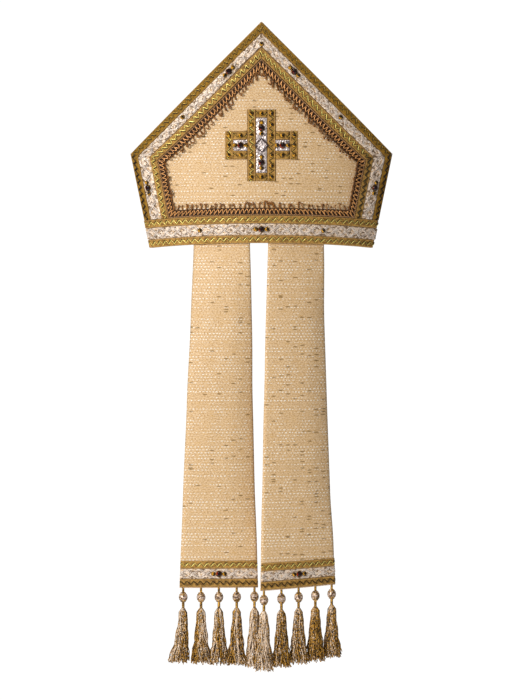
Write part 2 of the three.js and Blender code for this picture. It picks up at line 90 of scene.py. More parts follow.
class Socket:
    """An output socket on which Python arithmetic adds Math nodes."""

    def __init__(self, graph: "Graph", source: bpy.types.NodeSocket | None) -> None:
        """Wraps a node's output."""
        self.graph = graph
        self.source = source

    def beside(self, output: str | int) -> "Socket":
        """Another output of the same node."""
        return Socket(self.graph, self.source.node.outputs[output])

    def __add__(self, other: "Socket | float") -> "Socket":
        """Adds."""
        return self.graph.math("ADD", self, other)

    def __sub__(self, other: "Socket | float") -> "Socket":
        """Subtracts other."""
        return self.graph.math("SUBTRACT", self, other)

    def __rsub__(self, other: float) -> "Socket":
        """Subtracts this from a number."""
        return self.graph.math("SUBTRACT", other, self)

    def __mul__(self, other: "Socket | float") -> "Socket":
        """Multiplies."""
        return self.graph.math("MULTIPLY", self, other)

    def __truediv__(self, other: "Socket | float") -> "Socket":
        """Divides by other."""
        return self.graph.math("DIVIDE", self, other)

    def __pow__(self, other: float) -> "Socket":
        """Raises to a power."""
        return self.graph.math("POWER", self, other)

    def __neg__(self) -> "Socket":
        """Changes the sign."""
        return self.graph.math("MULTIPLY", self, -1.0)

    __radd__ = __add__
    __rmul__ = __mul__


class Graph:
    """A node tree with one way of adding any node."""

    def __init__(self, tree: bpy.types.NodeTree) -> None:
        """Takes the tree over."""
        self.tree = tree

    def node(self, kind: str, settings: dict | None = None, sockets: dict | None = None,
             output: str | int = 0) -> Socket:
        """Adds one node.

        Args:
            kind: The node's type.
            settings: Its properties, set first.
            sockets: Values or links by socket name or number.
            output: The output to hand back.

        Returns:
            The chosen output.
        """
        made = self.tree.nodes.new(kind)
        for key, value in (settings or {}).items():
            setattr(made, key, value)
        for key, value in (sockets or {}).items():
            self._feed(made.inputs[key], value)
        return Socket(self, made.outputs[output] if len(made.outputs) else None)

    def _feed(self, target: bpy.types.NodeSocket, value: object) -> None:
        """Links a socket, several sockets or sets a plain value."""
        if isinstance(value, Socket):
            self.tree.links.new(value.source, target)
        elif isinstance(value, list):
            for one in value:
                self.tree.links.new(one.source, target)
        else:
            target.default_value = value

    def math(self, operation: str, *values: "Socket | float") -> Socket:
        """Adds a Math node on its operands."""
        return self.node("ShaderNodeMath", {"operation": operation}, dict(enumerate(values)))

    def vector(self, operation: str, *values: object, output: str | int = 0) -> Socket:
        """Adds a Vector Math node on its operands."""
        names = {"SCALE": (0, 3)}.get(operation, range(len(values)))
        return self.node("ShaderNodeVectorMath", {"operation": operation}, dict(zip(names, values)), output)

    def combine(self, x: "Socket | float", y: "Socket | float", z: "Socket | float" = 0.0) -> Socket:
        """Makes a vector of three values."""
        return self.node("ShaderNodeCombineXYZ", {}, {0: x, 1: y, 2: z})

    def between(self, value: Socket, low: float, high: float) -> Socket:
        """Rises smoothly from 0 at low to 1 at high."""
        settings = {"interpolation_type": "SMOOTHSTEP", "clamp": True}
        return self.node("ShaderNodeMapRange", settings, {0: value, 1: low, 2: high, 3: 0.0, 4: 1.0})


class MaterialGraph(Graph):
    """The node tree of one material."""

    def __init__(self, name: str) -> None:
        """Makes an empty material."""
        self.material = bpy.data.materials.new(name)
        self.material.use_nodes = True
        super().__init__(self.material.node_tree)
        self.tree.nodes.clear()

    def place(self) -> Socket:
        """The point in the object's own coordinates, in millimetres."""
        point = self.node("ShaderNodeTexCoord", output="Object")
        return self.vector("SCALE", point, 1000.0)

    def cloth(self) -> tuple[Socket, Socket]:
        """The two coordinates along the piece's own surface, in millimetres."""
        plane = self.node("ShaderNodeUVMap", {"uv_map": "UVMap"})
        parts = self.node("ShaderNodeSeparateXYZ", {}, {0: self.vector("SCALE", plane, 1000.0)})
        return parts, parts.beside("Y")

    def attribute(self, name: str) -> Socket:
        """A number stored on the mesh."""
        return self.node("ShaderNodeAttribute", {"attribute_name": name}, output="Fac")

    def noise(self, point: Socket, scale: float, detail: float = 2.0, roughness: float = 0.5) -> Socket:
        """Smooth noise from 0 to 1 with features of about 1 / scale."""
        sockets = {"Vector": point, "Scale": scale, "Detail": detail, "Roughness": roughness}
        return self.node("ShaderNodeTexNoise", {}, sockets)

    def cells(self, point: Socket, scale: float = 1.0, dimensions: str = "2D") -> tuple[Socket, Socket]:
        """Scattered cells: the distance from each one's middle, and a random number for each."""
        settings = {"voronoi_dimensions": dimensions}
        cell = self.node("ShaderNodeTexVoronoi", settings, {"Vector": point, "Scale": scale})
        return cell, self.node("ShaderNodeSeparateColor", {}, {0: cell.beside("Color")})

    def chance(self, place: Socket, dimensions: str) -> Socket:
        """A random number from 0 to 1 for each whole place."""
        key = "W" if dimensions == "1D" else "Vector"
        return self.node("ShaderNodeTexWhiteNoise", {"noise_dimensions": dimensions}, {key: place})

    def ripple(self, value: Socket) -> Socket:
        """A sine that runs from 0 to 1."""
        return self.math("SINE", value) * 0.5 + 0.5

    def mix(self, factor: Socket, first: "Socket | Colour", second: "Socket | Colour") -> Socket:
        """Mixes two colours."""
        settings = {"data_type": "RGBA", "clamp_factor": True}
        return self.node("ShaderNodeMix", settings, {0: factor, 6: first, 7: second}, output=2)

    def finish(self, colour: Socket, height: Socket | None, relief: float,
               sockets: dict) -> bpy.types.Material:
        """Ends the material in a Principled surface.

        Args:
            colour: The base colour.
            height: What the bump follows, if anything.
            relief: The bump's depth in metres.
            sockets: The other sockets, constants and varying ones alike.

        Returns:
            The material.
        """
        feeds = {"Base Color": colour, **sockets}
        if height is not None:
            bump = {"Strength": 1.0, "Distance": relief, "Height": height}
            feeds["Normal"] = self.node("ShaderNodeBump", {}, bump)
        surface = self.node("ShaderNodeBsdfPrincipled", {}, feeds)
        self.node("ShaderNodeOutputMaterial", {}, {"Surface": surface})
        return self.material


@dataclass(frozen=True)
class Finish:
    """A finish, whose material is made once."""

    made: ClassVar[dict[str, bpy.types.Material]] = {}
    label: str

    def material(self) -> bpy.types.Material:
        """The finish's own material, whatever else the scene holds."""
        if self.label not in self.made:
            self.made[self.label] = self._build(MaterialGraph(self.label))
        return self.made[self.label]

    def _build(self, graph: MaterialGraph) -> bpy.types.Material:
        """Builds the material; each finish has its own way."""
        raise NotImplementedError


@dataclass(frozen=True)
class Brocade(Finish):
    """Ivory and gold cloth in rows of pale floats, with a few dark gold slubs."""

    ground: Colour = rgb(226, 194, 150)
    shade: Colour = rgb(178, 136, 84)
    gilt: Colour = rgb(206, 162, 92)
    float_thread: Colour = rgb(255, 244, 228)
    slub: Colour = rgb(128, 94, 30)
    row_pitch: float = 3.6
    float_pitch: float = 4.2
    wander: float = 1.6
    faintest_float: float = 0.12
    slub_size: tuple[float, float] = (9.0, 2.4)
    slub_share: float = 0.075
    slub_rise: tuple[float, float] = (-120.0, 140.0)
    relief: float = 0.35 * MM

    def _build(self, graph: MaterialGraph) -> bpy.types.Material:
        """Weaves rows of floats, a fine tabby between them and scattered slubs."""
        x, y = graph.cloth()
        plane = graph.combine(x, y)
        tabby = graph.noise(graph.combine(x * 0.5, y * 0.85), 1.0, 3.0, 0.75)
        streak = graph.noise(graph.combine(x * 0.11, y * 0.9), 1.0, 2.0, 0.6)
        body = graph.mix(graph.between(tabby, 0.38, 0.56), self.shade, self.ground)
        gilt = graph.mix(graph.between(streak, 0.5, 0.66) * 0.55, body, self.gilt)
        shown = self._floats(graph, x, y, plane)
        pale = graph.mix(shown * 0.95, gilt, self.float_thread)
        cell, chance = graph.cells(graph.combine(x / self.slub_size[0], y / self.slub_size[1]))
        across = graph.node("ShaderNodeSeparateXYZ", {}, {0: graph.place()})
        share = graph.between(across, *self.slub_rise) * self.slub_share + self.slub_share * 0.35
        frayed = graph.between(cell, 0.46, 0.2) * graph.between(tabby, 0.3, 0.5)
        slub = graph.math("LESS_THAN", chance, share) * frayed
        colour = graph.mix(slub * 0.85, pale, self.slub)
        height = shown * 0.8 + tabby * 0.5 + slub * 0.4
        sockets = {"Roughness": 0.6 - shown * 0.12, "Metallic": 0.1, "Sheen Weight": 0.06}
        return graph.finish(colour, height, self.relief, sockets)

    def _floats(self, graph: MaterialGraph, x: Socket, y: Socket, plane: Socket) -> Socket:
        """How strongly a pale float shows at each place: rows of ovals, some of them faint."""
        drift = graph.noise(plane, 0.09, 1.0) - 0.5
        ragged = graph.noise(graph.combine(x * 0.7, y * 0.7), 1.0, 1.0) - 0.5
        row = (y + drift * self.wander) / self.row_pitch
        number = graph.math("FLOOR", row)
        in_row = graph.math("FRACT", row) - 0.5 + ragged * 0.3
        column = x / self.float_pitch + graph.math("FRACT", number * 0.5) + drift * 1.2
        in_column = graph.math("FRACT", column) - 0.5 + ragged * 0.5
        oval = graph.between(in_column * in_column * 7.5 + in_row * in_row * 16.0, 1.0, 0.2)
        own = graph.chance(graph.combine(graph.math("FLOOR", column), number), "2D")
        patch = graph.noise(plane, 0.045, 2.0) - 0.5
        chosen = graph.chance(number, "1D") * 0.7 + own * 0.5 + patch * self.wander
        return oval * (graph.between(chosen, 0.25, 1.0) * (1 - self.faintest_float) + self.faintest_float)


@dataclass(frozen=True)
class Lining(Finish):
    """A plain fine-woven lining."""

    ground: Colour = rgb(216, 186, 142)
    shade: Colour = rgb(184, 150, 104)

    def _build(self, graph: MaterialGraph) -> bpy.types.Material:
        """Weaves a plain tabby."""
        x, y = graph.cloth()
        warp = graph.math("SINE", x * 3.4)
        weft = graph.math("SINE", y * 3.4)
        weave = warp * weft * 0.5 + 0.5
        worn = graph.noise(graph.place(), 0.05, 3.0)
        slub = graph.noise(graph.combine(x * 0.1, y * 0.9), 1.0, 2.0, 0.6)
        level = weave * 0.5 + worn * 0.3 + graph.between(slub, 0.4, 0.65) * 0.3
        colour = graph.mix(level, self.shade, self.ground)
        return graph.finish(colour, weave + slub, 0.2 * MM, {"Roughness": 0.8, "Specular IOR Level": 0.25})


@dataclass(frozen=True)
class BraidGround(Finish):
    """The ribbed golden brown ground of a woven braid, with paler selvedges and a painted shadow along its
    outer edges.
    """

    ground: Colour = rgb(208, 160, 80)
    shade: Colour = rgb(98, 64, 22)
    selvedge: Colour = rgb(212, 168, 98)
    half_width: float = 4.8
    rib_rate: float = 7.6
    pick_rate: float = 3.4

    def _build(self, graph: MaterialGraph) -> bpy.types.Material:
        """Lays ribs along the braid and picks across it, and paints shadow along its outer edges."""
        x, y = graph.cloth()
        ribs = graph.ripple(y * self.rib_rate)
        picks = graph.ripple(x * self.pick_rate + graph.math("SINE", y * 2.6) * 1.5)
        worn = graph.noise(graph.place(), 0.32, 3.0, 0.7)
        level = ribs * 0.15 + picks * 0.2 + graph.between(worn, 0.36, 0.62) * 0.65
        body = graph.mix(level, self.shade, self.ground)
        far = graph.math("ABSOLUTE", y) / self.half_width
        edge = graph.between(far, 0.68, 0.84) - graph.between(far, 0.9, 1.0)
        colour = graph.mix(edge * (0.3 + ribs * 0.3), body, self.selvedge)
        # Painted shadow: the outermost edges darken to the shade colour, where the gaps between bands fall in
        # shadow.
        with_painted_edge_shadow = graph.mix(graph.between(far, 0.9, 1.02) * 0.8, colour, self.shade)
        sockets = {"Roughness": 0.5 + worn * 0.2, "Metallic": 0.15, "Specular IOR Level": 0.3}
        return graph.finish(with_painted_edge_shadow, ribs * 0.6 + picks * 0.4, 0.3 * MM, sockets)


@dataclass(frozen=True)
class SilverGround(Finish):
    """The beige ground of the silver bands, shot with pale and grey metal."""

    ground: Colour = rgb(208, 174, 134)
    pale: Colour = rgb(238, 218, 198)
    dark: Colour = rgb(100, 80, 64)

    def _build(self, graph: MaterialGraph) -> bpy.types.Material:
        """Scatters pale and grey flecks over the ground."""
        x, y = graph.cloth()
        cell, tone = graph.cells(graph.combine(x * 0.48, y * 0.66))
        spark = graph.noise(graph.place(), 0.8, 2.0, 0.6)
        pale = graph.mix(graph.between(tone, 0.45, 0.6) * 0.9, self.ground, self.pale)
        colour = graph.mix(graph.between(tone + (spark - 0.5) * 0.8, 0.38, 0.24) * 0.85, pale, self.dark)
        return graph.finish(colour, cell + spark, 0.4 * MM, {"Roughness": 0.42, "Metallic": 0.2})


@dataclass(frozen=True)
class CrackledSilver(Finish):
    """Beaten silver foil, white and grey from facet to facet."""

    pale: Colour = rgb(226, 212, 208)
    dark: Colour = rgb(92, 80, 80)

    def _build(self, graph: MaterialGraph) -> bpy.types.Material:
        """Gives each cell of the foil its own brightness."""
        cell, tone = graph.cells(graph.place(), 0.55, "3D")
        colour = graph.mix(graph.between(tone, 0.55, 0.95) * 0.85, self.pale, self.dark)
        return graph.finish(colour, cell, 0.35 * MM, {"Roughness": 0.3 + tone * 0.2, "Metallic": 0.7})


@dataclass(frozen=True)
class MetalThread(Finish):
    """Metal-wound thread, with a painted highlight on one leg of its wave and painted shade on the other, and
    painted shade towards its deep colour where the mesh asks for it.
    """

    bright: Colour = rgb(246, 226, 120)
    dark: Colour = rgb(92, 66, 14)
    even: float = 0.0
    metallic: float = 0.75
    twist: float = 2.4
    wear: float = 0.5
    # The colour that the thread's painted shade darkens towards.
    deep: Colour = rgb(38, 24, 6)

    def _build(self, graph: MaterialGraph) -> bpy.types.Material:
        """Paints a highlight on one leg of the wave and shade on the other, with a little chance."""
        point = graph.place()
        # Painted light: one leg of the wave takes the bright colour as a painted highlight, the other the
        # dark colour as painted shade; even makes the two legs more alike.
        leg = graph.attribute("leg") * 0.5 + 0.5
        chance = graph.noise(point, 0.22, 2.0)
        level = leg * (1.0 - self.even) + self.even + (chance - 0.5) * 1.2
        spark = graph.noise(point, self.twist, 1.0)
        colour = graph.mix(graph.between(level, 0.25, 0.7), self.dark, self.bright)
        worn = graph.mix(graph.between(spark, 0.47, 0.6) * self.wear, colour, self.dark)
        # Painted shade: the stored shade attribute darkens the thread towards the deep colour.
        with_painted_shade = graph.mix(graph.attribute("dim"), worn, self.deep)
        sockets = {"Roughness": 0.22 + spark * 0.3, "Metallic": self.metallic}
        return graph.finish(with_painted_shade, spark, 0.2 * MM, sockets)


@dataclass(frozen=True)
class Gem(Finish):
    """A faceted stone with a painted inner glint on some facets."""

    deep: Colour = rgb(22, 3, 3)
    # glow is the colour of the painted inner glint.
    glow: Colour = rgb(196, 46, 12)
    share: float = 0.8

    def _build(self, graph: MaterialGraph) -> bpy.types.Material:
        """Gives each facet its own share of the painted inner glint."""
        spark = graph.attribute("facet")
        swirl = graph.noise(graph.place(), 0.6, 2.0)
        painted_glint = graph.between(spark + (swirl - 0.5) * 0.3, self.share, self.share + 0.15)
        colour = graph.mix(painted_glint, self.deep, self.glow)
        return graph.finish(colour, None, 0.0, {"Roughness": 0.06 + swirl * 0.06, "IOR": 1.5})


@dataclass(frozen=True)
class TasselThread(Finish):
    """Rayon and metal strands, each somewhere between old gold and a pinkish silver, with patches of painted
    shade between them.
    """

    gold: Colour = rgb(186, 136, 42)
    dark: Colour = rgb(60, 38, 6)
    silver: Colour = rgb(234, 212, 188)

    def _build(self, graph: MaterialGraph) -> bpy.types.Material:
        """Mixes the strand's own tone with the speckle of its twist and with near-black patches of painted
        shade.
        """
        tone = graph.attribute("tone")
        point = graph.place()
        speckle = graph.noise(point, 0.62, 3.0, 0.75)
        second = graph.noise(point, 0.41, 2.0, 0.7)
        # Painted shade: near-black patches stand in for the shadow between strands.
        body = graph.mix(graph.between(second, 0.44, 0.54), self.dark, self.gold)
        pale = graph.between(tone + (speckle - 0.5) * 3.2, 0.46, 0.64)
        colour = graph.mix(pale, body, self.silver)
        return graph.finish(colour, speckle, 0.2 * MM, {"Roughness": 0.42, "Metallic": 0.3})


@dataclass(frozen=True)
class Paper(Finish):
    """The studio's plain pale floor."""

    tone: Colour = rgb(244, 243, 241)
    shade: Colour = rgb(232, 231, 229)

    def _build(self, graph: MaterialGraph) -> bpy.types.Material:
        """A matt, very slightly uneven white."""
        worn = graph.noise(graph.place(), 0.004, 2.0)
        colour = graph.mix(worn * 0.15, self.tone, self.shade)
        sockets = {"Roughness": 0.95, "Emission Color": colour, "Emission Strength": 0.32}
        return graph.finish(colour, None, 0.0, sockets)


BROCADE = Brocade("brocade_cloth")
LINING = Lining("lining_cloth")
BRAID = BraidGround("braid_ground")
OUTER_BRAID = BraidGround("outer_braid_ground", rgb(176, 130, 36), rgb(98, 68, 16), rgb(176, 132, 54))
# The gimp's ground is a dark backing and also painted shadow in the gaps between the coil's turns.
GIMP_GROUND_AND_SHADOW = BraidGround("gimp_ground", rgb(64, 38, 16), rgb(26, 13, 4), rgb(140, 100, 68), half_width=4.6)
SILVER_RIBBON = SilverGround("silver_ribbon_ground")
FOIL = CrackledSilver("crackled_silver")
BRIGHT_GOLD = MetalThread(
    "zigzag_bright_gold", rgb(255, 232, 128), rgb(150, 110, 30), even=0.58, metallic=0.35, twist=0.7, wear=0.4
)
SOFT_GOLD = MetalThread("zigzag_soft_gold", rgb(186, 150, 62), rgb(128, 94, 30), even=0.5, metallic=0.4)
DARK_GOLD = MetalThread("zigzag_dark_gold", rgb(140, 110, 44), rgb(70, 48, 14), even=0.1, metallic=0.5)
SILVER = MetalThread(
    "silver_strands", rgb(255, 242, 228), rgb(176, 142, 112), even=0.85, metallic=0.22, twist=0.45, wear=0.65,
    deep=rgb(116, 90, 72),
)
COPPER = MetalThread(
    "gimp_copper", rgb(230, 166, 100), rgb(104, 66, 30), even=1.0, metallic=0.25, twist=0.6, wear=0.7
)
LOOP_CORD = MetalThread(
    "gimp_loop_cord", rgb(150, 96, 38), rgb(50, 28, 6), even=0.9, metallic=0.1, twist=0.5, wear=0.7
)
PURL = MetalThread("gimp_purl", rgb(184, 140, 98), rgb(96, 64, 34), even=0.6, metallic=0.2)
DIAMOND_FRAME = MetalThread(
    "diamond_frame", rgb(214, 200, 200), rgb(74, 60, 60), metallic=0.5, twist=0.6, wear=0.3
)
GOLD_CORD = MetalThread(
    "gold_cord", rgb(216, 166, 66), rgb(78, 50, 10), even=0.55, metallic=0.35, twist=0.6, wear=1.0
)
ROSE_SILVER = MetalThread(
    "rose_silver_cord", rgb(236, 212, 196), rgb(92, 66, 42), even=0.6, metallic=0.35, twist=0.4, wear=1.0
)
BRAID_SEAM = MetalThread("braid_seam", rgb(112, 80, 36), rgb(62, 40, 14), even=0.5, metallic=0.0)
PIPING = MetalThread("hem_piping", rgb(232, 204, 176), rgb(170, 136, 104), even=0.8, metallic=0.0)
SETTING = MetalThread("stone_setting", rgb(150, 112, 44), rgb(60, 42, 12), even=0.4, metallic=0.9)
GARNET_FINISH = Gem("garnet_stone", rgb(26, 4, 5), rgb(172, 38, 14), share=0.8)
AMBER_FINISH = Gem("amber_stone", rgb(30, 20, 4), rgb(216, 156, 40), share=0.54)
THREADS = TasselThread("tassel_strands")
PAPER = Paper("studio_paper")


# ---- Meshes ---------------------------------------------------------------------------------------


def new_object(name: str, mesh: bpy.types.Mesh, finishes: Sequence[Finish] = ()) -> bpy.types.Object:
    """Links a mesh into the scene.

    Args:
        name: The object's name.
        mesh: Its mesh, already in place.
        finishes: One finish per material slot, if the mesh has none yet.

    Returns:
        The object.
    """
    made = bpy.data.objects.new(name, mesh)
    bpy.context.scene.collection.objects.link(made)
    for one in finishes:
        mesh.materials.append(one.material())
    return made


def mesh_of(name: str, points: Array, faces: Sequence[Sequence[int]],
            smooth_faces: bool = True) -> bpy.types.Mesh:
    """A mesh from points and faces."""
    mesh = bpy.data.meshes.new(name)
    mesh.from_pydata([tuple(p) for p in points], [], [tuple(f) for f in faces])
    mesh.polygons.foreach_set("use_smooth", [smooth_faces] * len(mesh.polygons))
    mesh.update()
    return mesh


def points_of(mesh: bpy.types.Mesh) -> Array:
    """A mesh's points, one a row."""
    points = np.zeros(len(mesh.vertices) * 3)
    mesh.vertices.foreach_get("co", points)
    return points.reshape(-1, 3)


def lay_out(mesh: bpy.types.Mesh, plane: Array) -> None:
    """Gives each point of a mesh its place on the flat cloth, in metres."""
    corners = np.zeros(len(mesh.loops), dtype=np.int32)
    mesh.loops.foreach_get("vertex_index", corners)
    layer = mesh.uv_layers.get("UVMap") or mesh.uv_layers.new(name="UVMap")
    layer.data.foreach_set("uv", plane[corners].astype(np.float32).ravel())


def note(mesh: bpy.types.Mesh, label: str, values: Sequence[float], domain: str = "POINT") -> None:
    """Stores a number on each point, or on each face."""
    attribute = mesh.attributes.new(label, "FLOAT", domain)
    attribute.data.foreach_set("value", np.asarray(values, dtype=np.float32))


def joined(parts: Sequence[Shape]) -> Shape:
    """Puts several shapes into one list of points and one of faces."""
    starts = np.cumsum([0, *(len(points) for points, _ in parts)]).tolist()
    faces = [tuple(start + k for k in face) for start, (_, sides) in zip(starts, parts) for face in sides]
    return np.vstack([points for points, _ in parts]), faces


@dataclass
class Plate:
    """A closed plate on a chart: an outer and an inner skin on one grid, joined round the edge."""

    name: str
    chart: Chart
    rows: int
    columns: int
    front: Callable[[Array, Array], Array]
    back: float
    size: tuple[float, float]
    looped: bool = False

    def build(self, finishes: Sequence[Finish]) -> bpy.types.Object:
        """Builds the plate.

        Args:
            finishes: The outer skin's finish, then the inner skin's, if it differs.

        Returns:
            The object, with its surface coordinates in metres as its UV map.
        """
        across, run = np.linspace(-1, 1, self.rows + 1), np.linspace(0, 1, self.columns + 1)
        v, u = np.meshgrid(across, run, indexing="ij")
        lifts = (self.front(u, v).ravel(), np.full(u.size, self.back))
        points = np.concatenate([self.chart(u.ravel(), v.ravel(), lift) for lift in lifts])
        width = self.columns + 1
        skin = u.size
        faces: list[tuple[int, ...]] = []
        inner: list[bool] = []

        def at(i: int, j: int) -> int:
            """The number of a grid point."""
            return i * width + j

        for i in range(self.rows):
            for j in range(self.columns):
                a, b, c, d = at(i, j), at(i, j + 1), at(i + 1, j + 1), at(i + 1, j)
                faces += [(a, b, c, d), (d + skin, c + skin, b + skin, a + skin)]
                inner += [False, True]
        for j in range(self.columns):
            for a, b in ((at(0, j), at(0, j + 1)), (at(self.rows, j + 1), at(self.rows, j))):
                faces.append((b, a, a + skin, b + skin))
                inner.append(False)
        if not self.looped:
            for i in range(self.rows):
                for a, b in ((at(i + 1, 0), at(i, 0)), (at(i, self.columns), at(i + 1, self.columns))):
                    faces.append((b, a, a + skin, b + skin))
                    inner.append(False)
        mesh = mesh_of(self.name, points, faces)
        plane = np.stack([u.ravel() * self.size[0], v.ravel() * self.size[1]], axis=-1)
        lay_out(mesh, np.tile(plane, (2, 1)))
        if len(finishes) > 1:
            mesh.polygons.foreach_set("material_index", np.array(inner, dtype=np.int32))
        self._close(mesh)
        return new_object(self.name, mesh, finishes)

    def _close(self, mesh: bpy.types.Mesh) -> None:
        """Merges a looped plate's ends and turns every face outwards."""
        work = bmesh.new()
        work.from_mesh(mesh)
        bmesh.ops.remove_doubles(work, verts=work.verts, dist=1e-6)
        if work.calc_volume(signed=True) < 0:
            bmesh.ops.reverse_faces(work, faces=work.faces)
        work.to_mesh(mesh)
        work.free()


def tube(points: Array, radius: float, sides: int = 6, closed: bool = False) -> Shape:
    """A round tube along points.

    Args:
        points: The path.
        radius: The tube's radius.
        sides: How many sides it has.
        closed: Whether its end meets its start.

    Returns:
        The vertices and the faces.
    """
    path = np.asarray(points, dtype=float)
    count = len(path)
    ahead = np.roll(path, -1, axis=0) if closed else np.vstack([path[1:], path[-1:] * 2 - path[-2:-1]])
    behind = np.roll(path, 1, axis=0) if closed else np.vstack([path[:1] * 2 - path[1:2], path[:-1]])
    along = unit(ahead - behind)
    spread = np.linalg.svd(path - path.mean(axis=0), full_matrices=True)[2][2]
    side = unit(np.cross(along, spread))
    up = np.cross(side, along)
    angles = np.arange(sides) * 2 * math.pi / sides
    cosine, sine = np.cos(angles)[None, :, None], np.sin(angles)[None, :, None]
    ring = side[:, None, :] * cosine + up[:, None, :] * sine
    vertices = (path[:, None, :] + radius * ring).reshape(-1, 3)
    faces: list[tuple[int, ...]] = []
    for i in range(count if closed else count - 1):
        for k in range(sides):
            a, b = i * sides + k, i * sides + (k + 1) % sides
            c, d = (b + sides) % (count * sides), (a + sides) % (count * sides)
            faces.append((a, b, c, d))
    if not closed:
        faces.append(tuple(reversed(range(sides))))
        faces.append(tuple(range((count - 1) * sides, count * sides)))
    return vertices, faces


# ---- Geometry Nodes -------------------------------------------------------------------------------


class GeometryGraph(Graph):
    """A Geometry Nodes tree with named inputs, run on an object and turned into a plain mesh."""

    def __init__(self, name: str, **inputs: Sequence[str]) -> None:
        """Makes the tree.

        Args:
            name: The tree's name.
            inputs: The names of its inputs by kind, Float, Int or Vector; a material comes last.
        """
        super().__init__(bpy.data.node_groups.new(name, "GeometryNodeTree"))
        interface = self.tree.interface
        interface.new_socket("Geometry", in_out="OUTPUT", socket_type="NodeSocketGeometry")
        interface.new_socket("Geometry", in_out="INPUT", socket_type="NodeSocketGeometry")
        groups = {**inputs, "Material": ["Material"]}
        kinds = {label: kind for kind, labels in groups.items() for label in labels}
        self.identifiers = {
            label: interface.new_socket(label, in_out="INPUT", socket_type=f"NodeSocket{kind}").identifier
            for label, kind in kinds.items()
        }
        self.entry = self.node("NodeGroupInput")

    def given(self, name: str) -> Socket:
        """One of the tree's inputs."""
        return self.entry.beside(name)

    def named(self, name: str, kind: str = "FLOAT") -> Socket:
        """An attribute of the geometry."""
        return self.node("GeometryNodeInputNamedAttribute", {"data_type": kind}, {"Name": name})

    def store(self, geometry: Socket, name: str, value: Socket) -> Socket:
        """Stores a number on each point of the geometry."""
        sockets = {"Geometry": geometry, "Name": name, "Value": value}
        settings = {"data_type": "FLOAT", "domain": "POINT"}
        return self.node("GeometryNodeStoreNamedAttribute", settings, sockets)

    def roll(self, low: float, high: float, seed: Socket, **own: Socket) -> Socket:
        """A random number for each point, or for each own ID."""
        sockets = {2: low, 3: high, "Seed": seed, **own}
        return self.node("FunctionNodeRandomValue", {"data_type": "FLOAT"}, sockets, 1)

    def fine_line(self, count: Socket) -> Socket:
        """The guide as a curve with that many points."""
        line = self.node("GeometryNodeMeshToCurve", {}, {"Mesh": self.given("Geometry")})
        return self.node("GeometryNodeResampleCurve", {}, {"Curve": line, "Count": count})

    def end_in_thread(self, curve: Socket, sides: "Socket | int", radius: Socket) -> None:
        """Gives a curve its thickness and ends the tree."""
        ring = self.node("GeometryNodeCurvePrimitiveCircle", {}, {"Resolution": sides, "Radius": radius})
        sockets = {"Curve": curve, "Profile Curve": ring, "Fill Caps": True}
        self.end(self.node("GeometryNodeCurveToMesh", {}, sockets))

    def end(self, geometry: Socket) -> None:
        """Ends the tree in real, smooth geometry with its material."""
        real = self.node("GeometryNodeRealizeInstances", {}, {"Geometry": geometry})
        rounded = self.node("GeometryNodeSetShadeSmooth", {}, {"Geometry": real})
        sockets = {"Geometry": rounded, "Material": self.given("Material")}
        self.node("NodeGroupOutput", {}, {0: self.node("GeometryNodeSetMaterial", {}, sockets)})

    def run(self, name: str, guide: bpy.types.Mesh, values: dict[str, object]) -> bpy.types.Object:
        """Runs the tree.

        Args:
            name: The new object's name.
            guide: The mesh that it starts from.
            values: The inputs' values by name.

        Returns:
            An object with a plain mesh.
        """
        holder = new_object(f"{name}_guide", guide)
        modifier = holder.modifiers.new("nodes", "NODES")
        modifier.node_group = self.tree
        for label, value in values.items():
            modifier[self.identifiers[label]] = value
        evaluated = holder.evaluated_get(bpy.context.evaluated_depsgraph_get())
        mesh = bpy.data.meshes.new_from_object(evaluated)
        mesh.name = name
        holder.modifiers.remove(modifier)
        bpy.data.objects.remove(holder)
        bpy.data.meshes.remove(guide)
        return new_object(name, mesh)


class WaveThread(GeometryGraph):
    """Threads that wave from side to side, and up and down, along their guides."""

    def __init__(self) -> None:
        """Builds the tree."""
        super().__init__(
            "wave_thread",
            Float=("Periods", "Reach", "Sharpness", "Rise", "Rise Rate", "Thickness", "Slide"),
            Int=("Steps", "Sides"),
        )
        fine = self.fine_line(self.given("Periods") * self.given("Steps") + 1.0)
        along = self.node("GeometryNodeSplineParameter")
        turn = (along * self.given("Periods") + self.named("phase")) * (2 * math.pi)
        sine, cosine = self.math("SINE", turn), self.math("COSINE", turn)
        straight = self.math("ARCSINE", sine) * (2 / math.pi)
        wave = sine + (straight - sine) * self.given("Sharpness")
        lift = self.math("COSINE", turn * self.given("Rise Rate")) * self.given("Rise")
        slide = -(cosine * self.given("Slide"))
        offsets = (
            (self.named("across", "FLOAT_VECTOR"), self.named("bias") + wave * self.given("Reach")),
            (self.node("GeometryNodeInputTangent"), slide),
            (self.named("outward", "FLOAT_VECTOR"), lift),
        )
        sideways, forward, upward = (self.vector("SCALE", direction, size) for direction, size in offsets)
        offset = self.vector("ADD", self.vector("ADD", sideways, forward), upward)
        sockets = {"Geometry": self.store(fine, "leg", cosine), "Offset": offset}
        moved = self.node("GeometryNodeSetPosition", {}, sockets)
        self.end_in_thread(moved, self.given("Sides"), self.given("Thickness"))


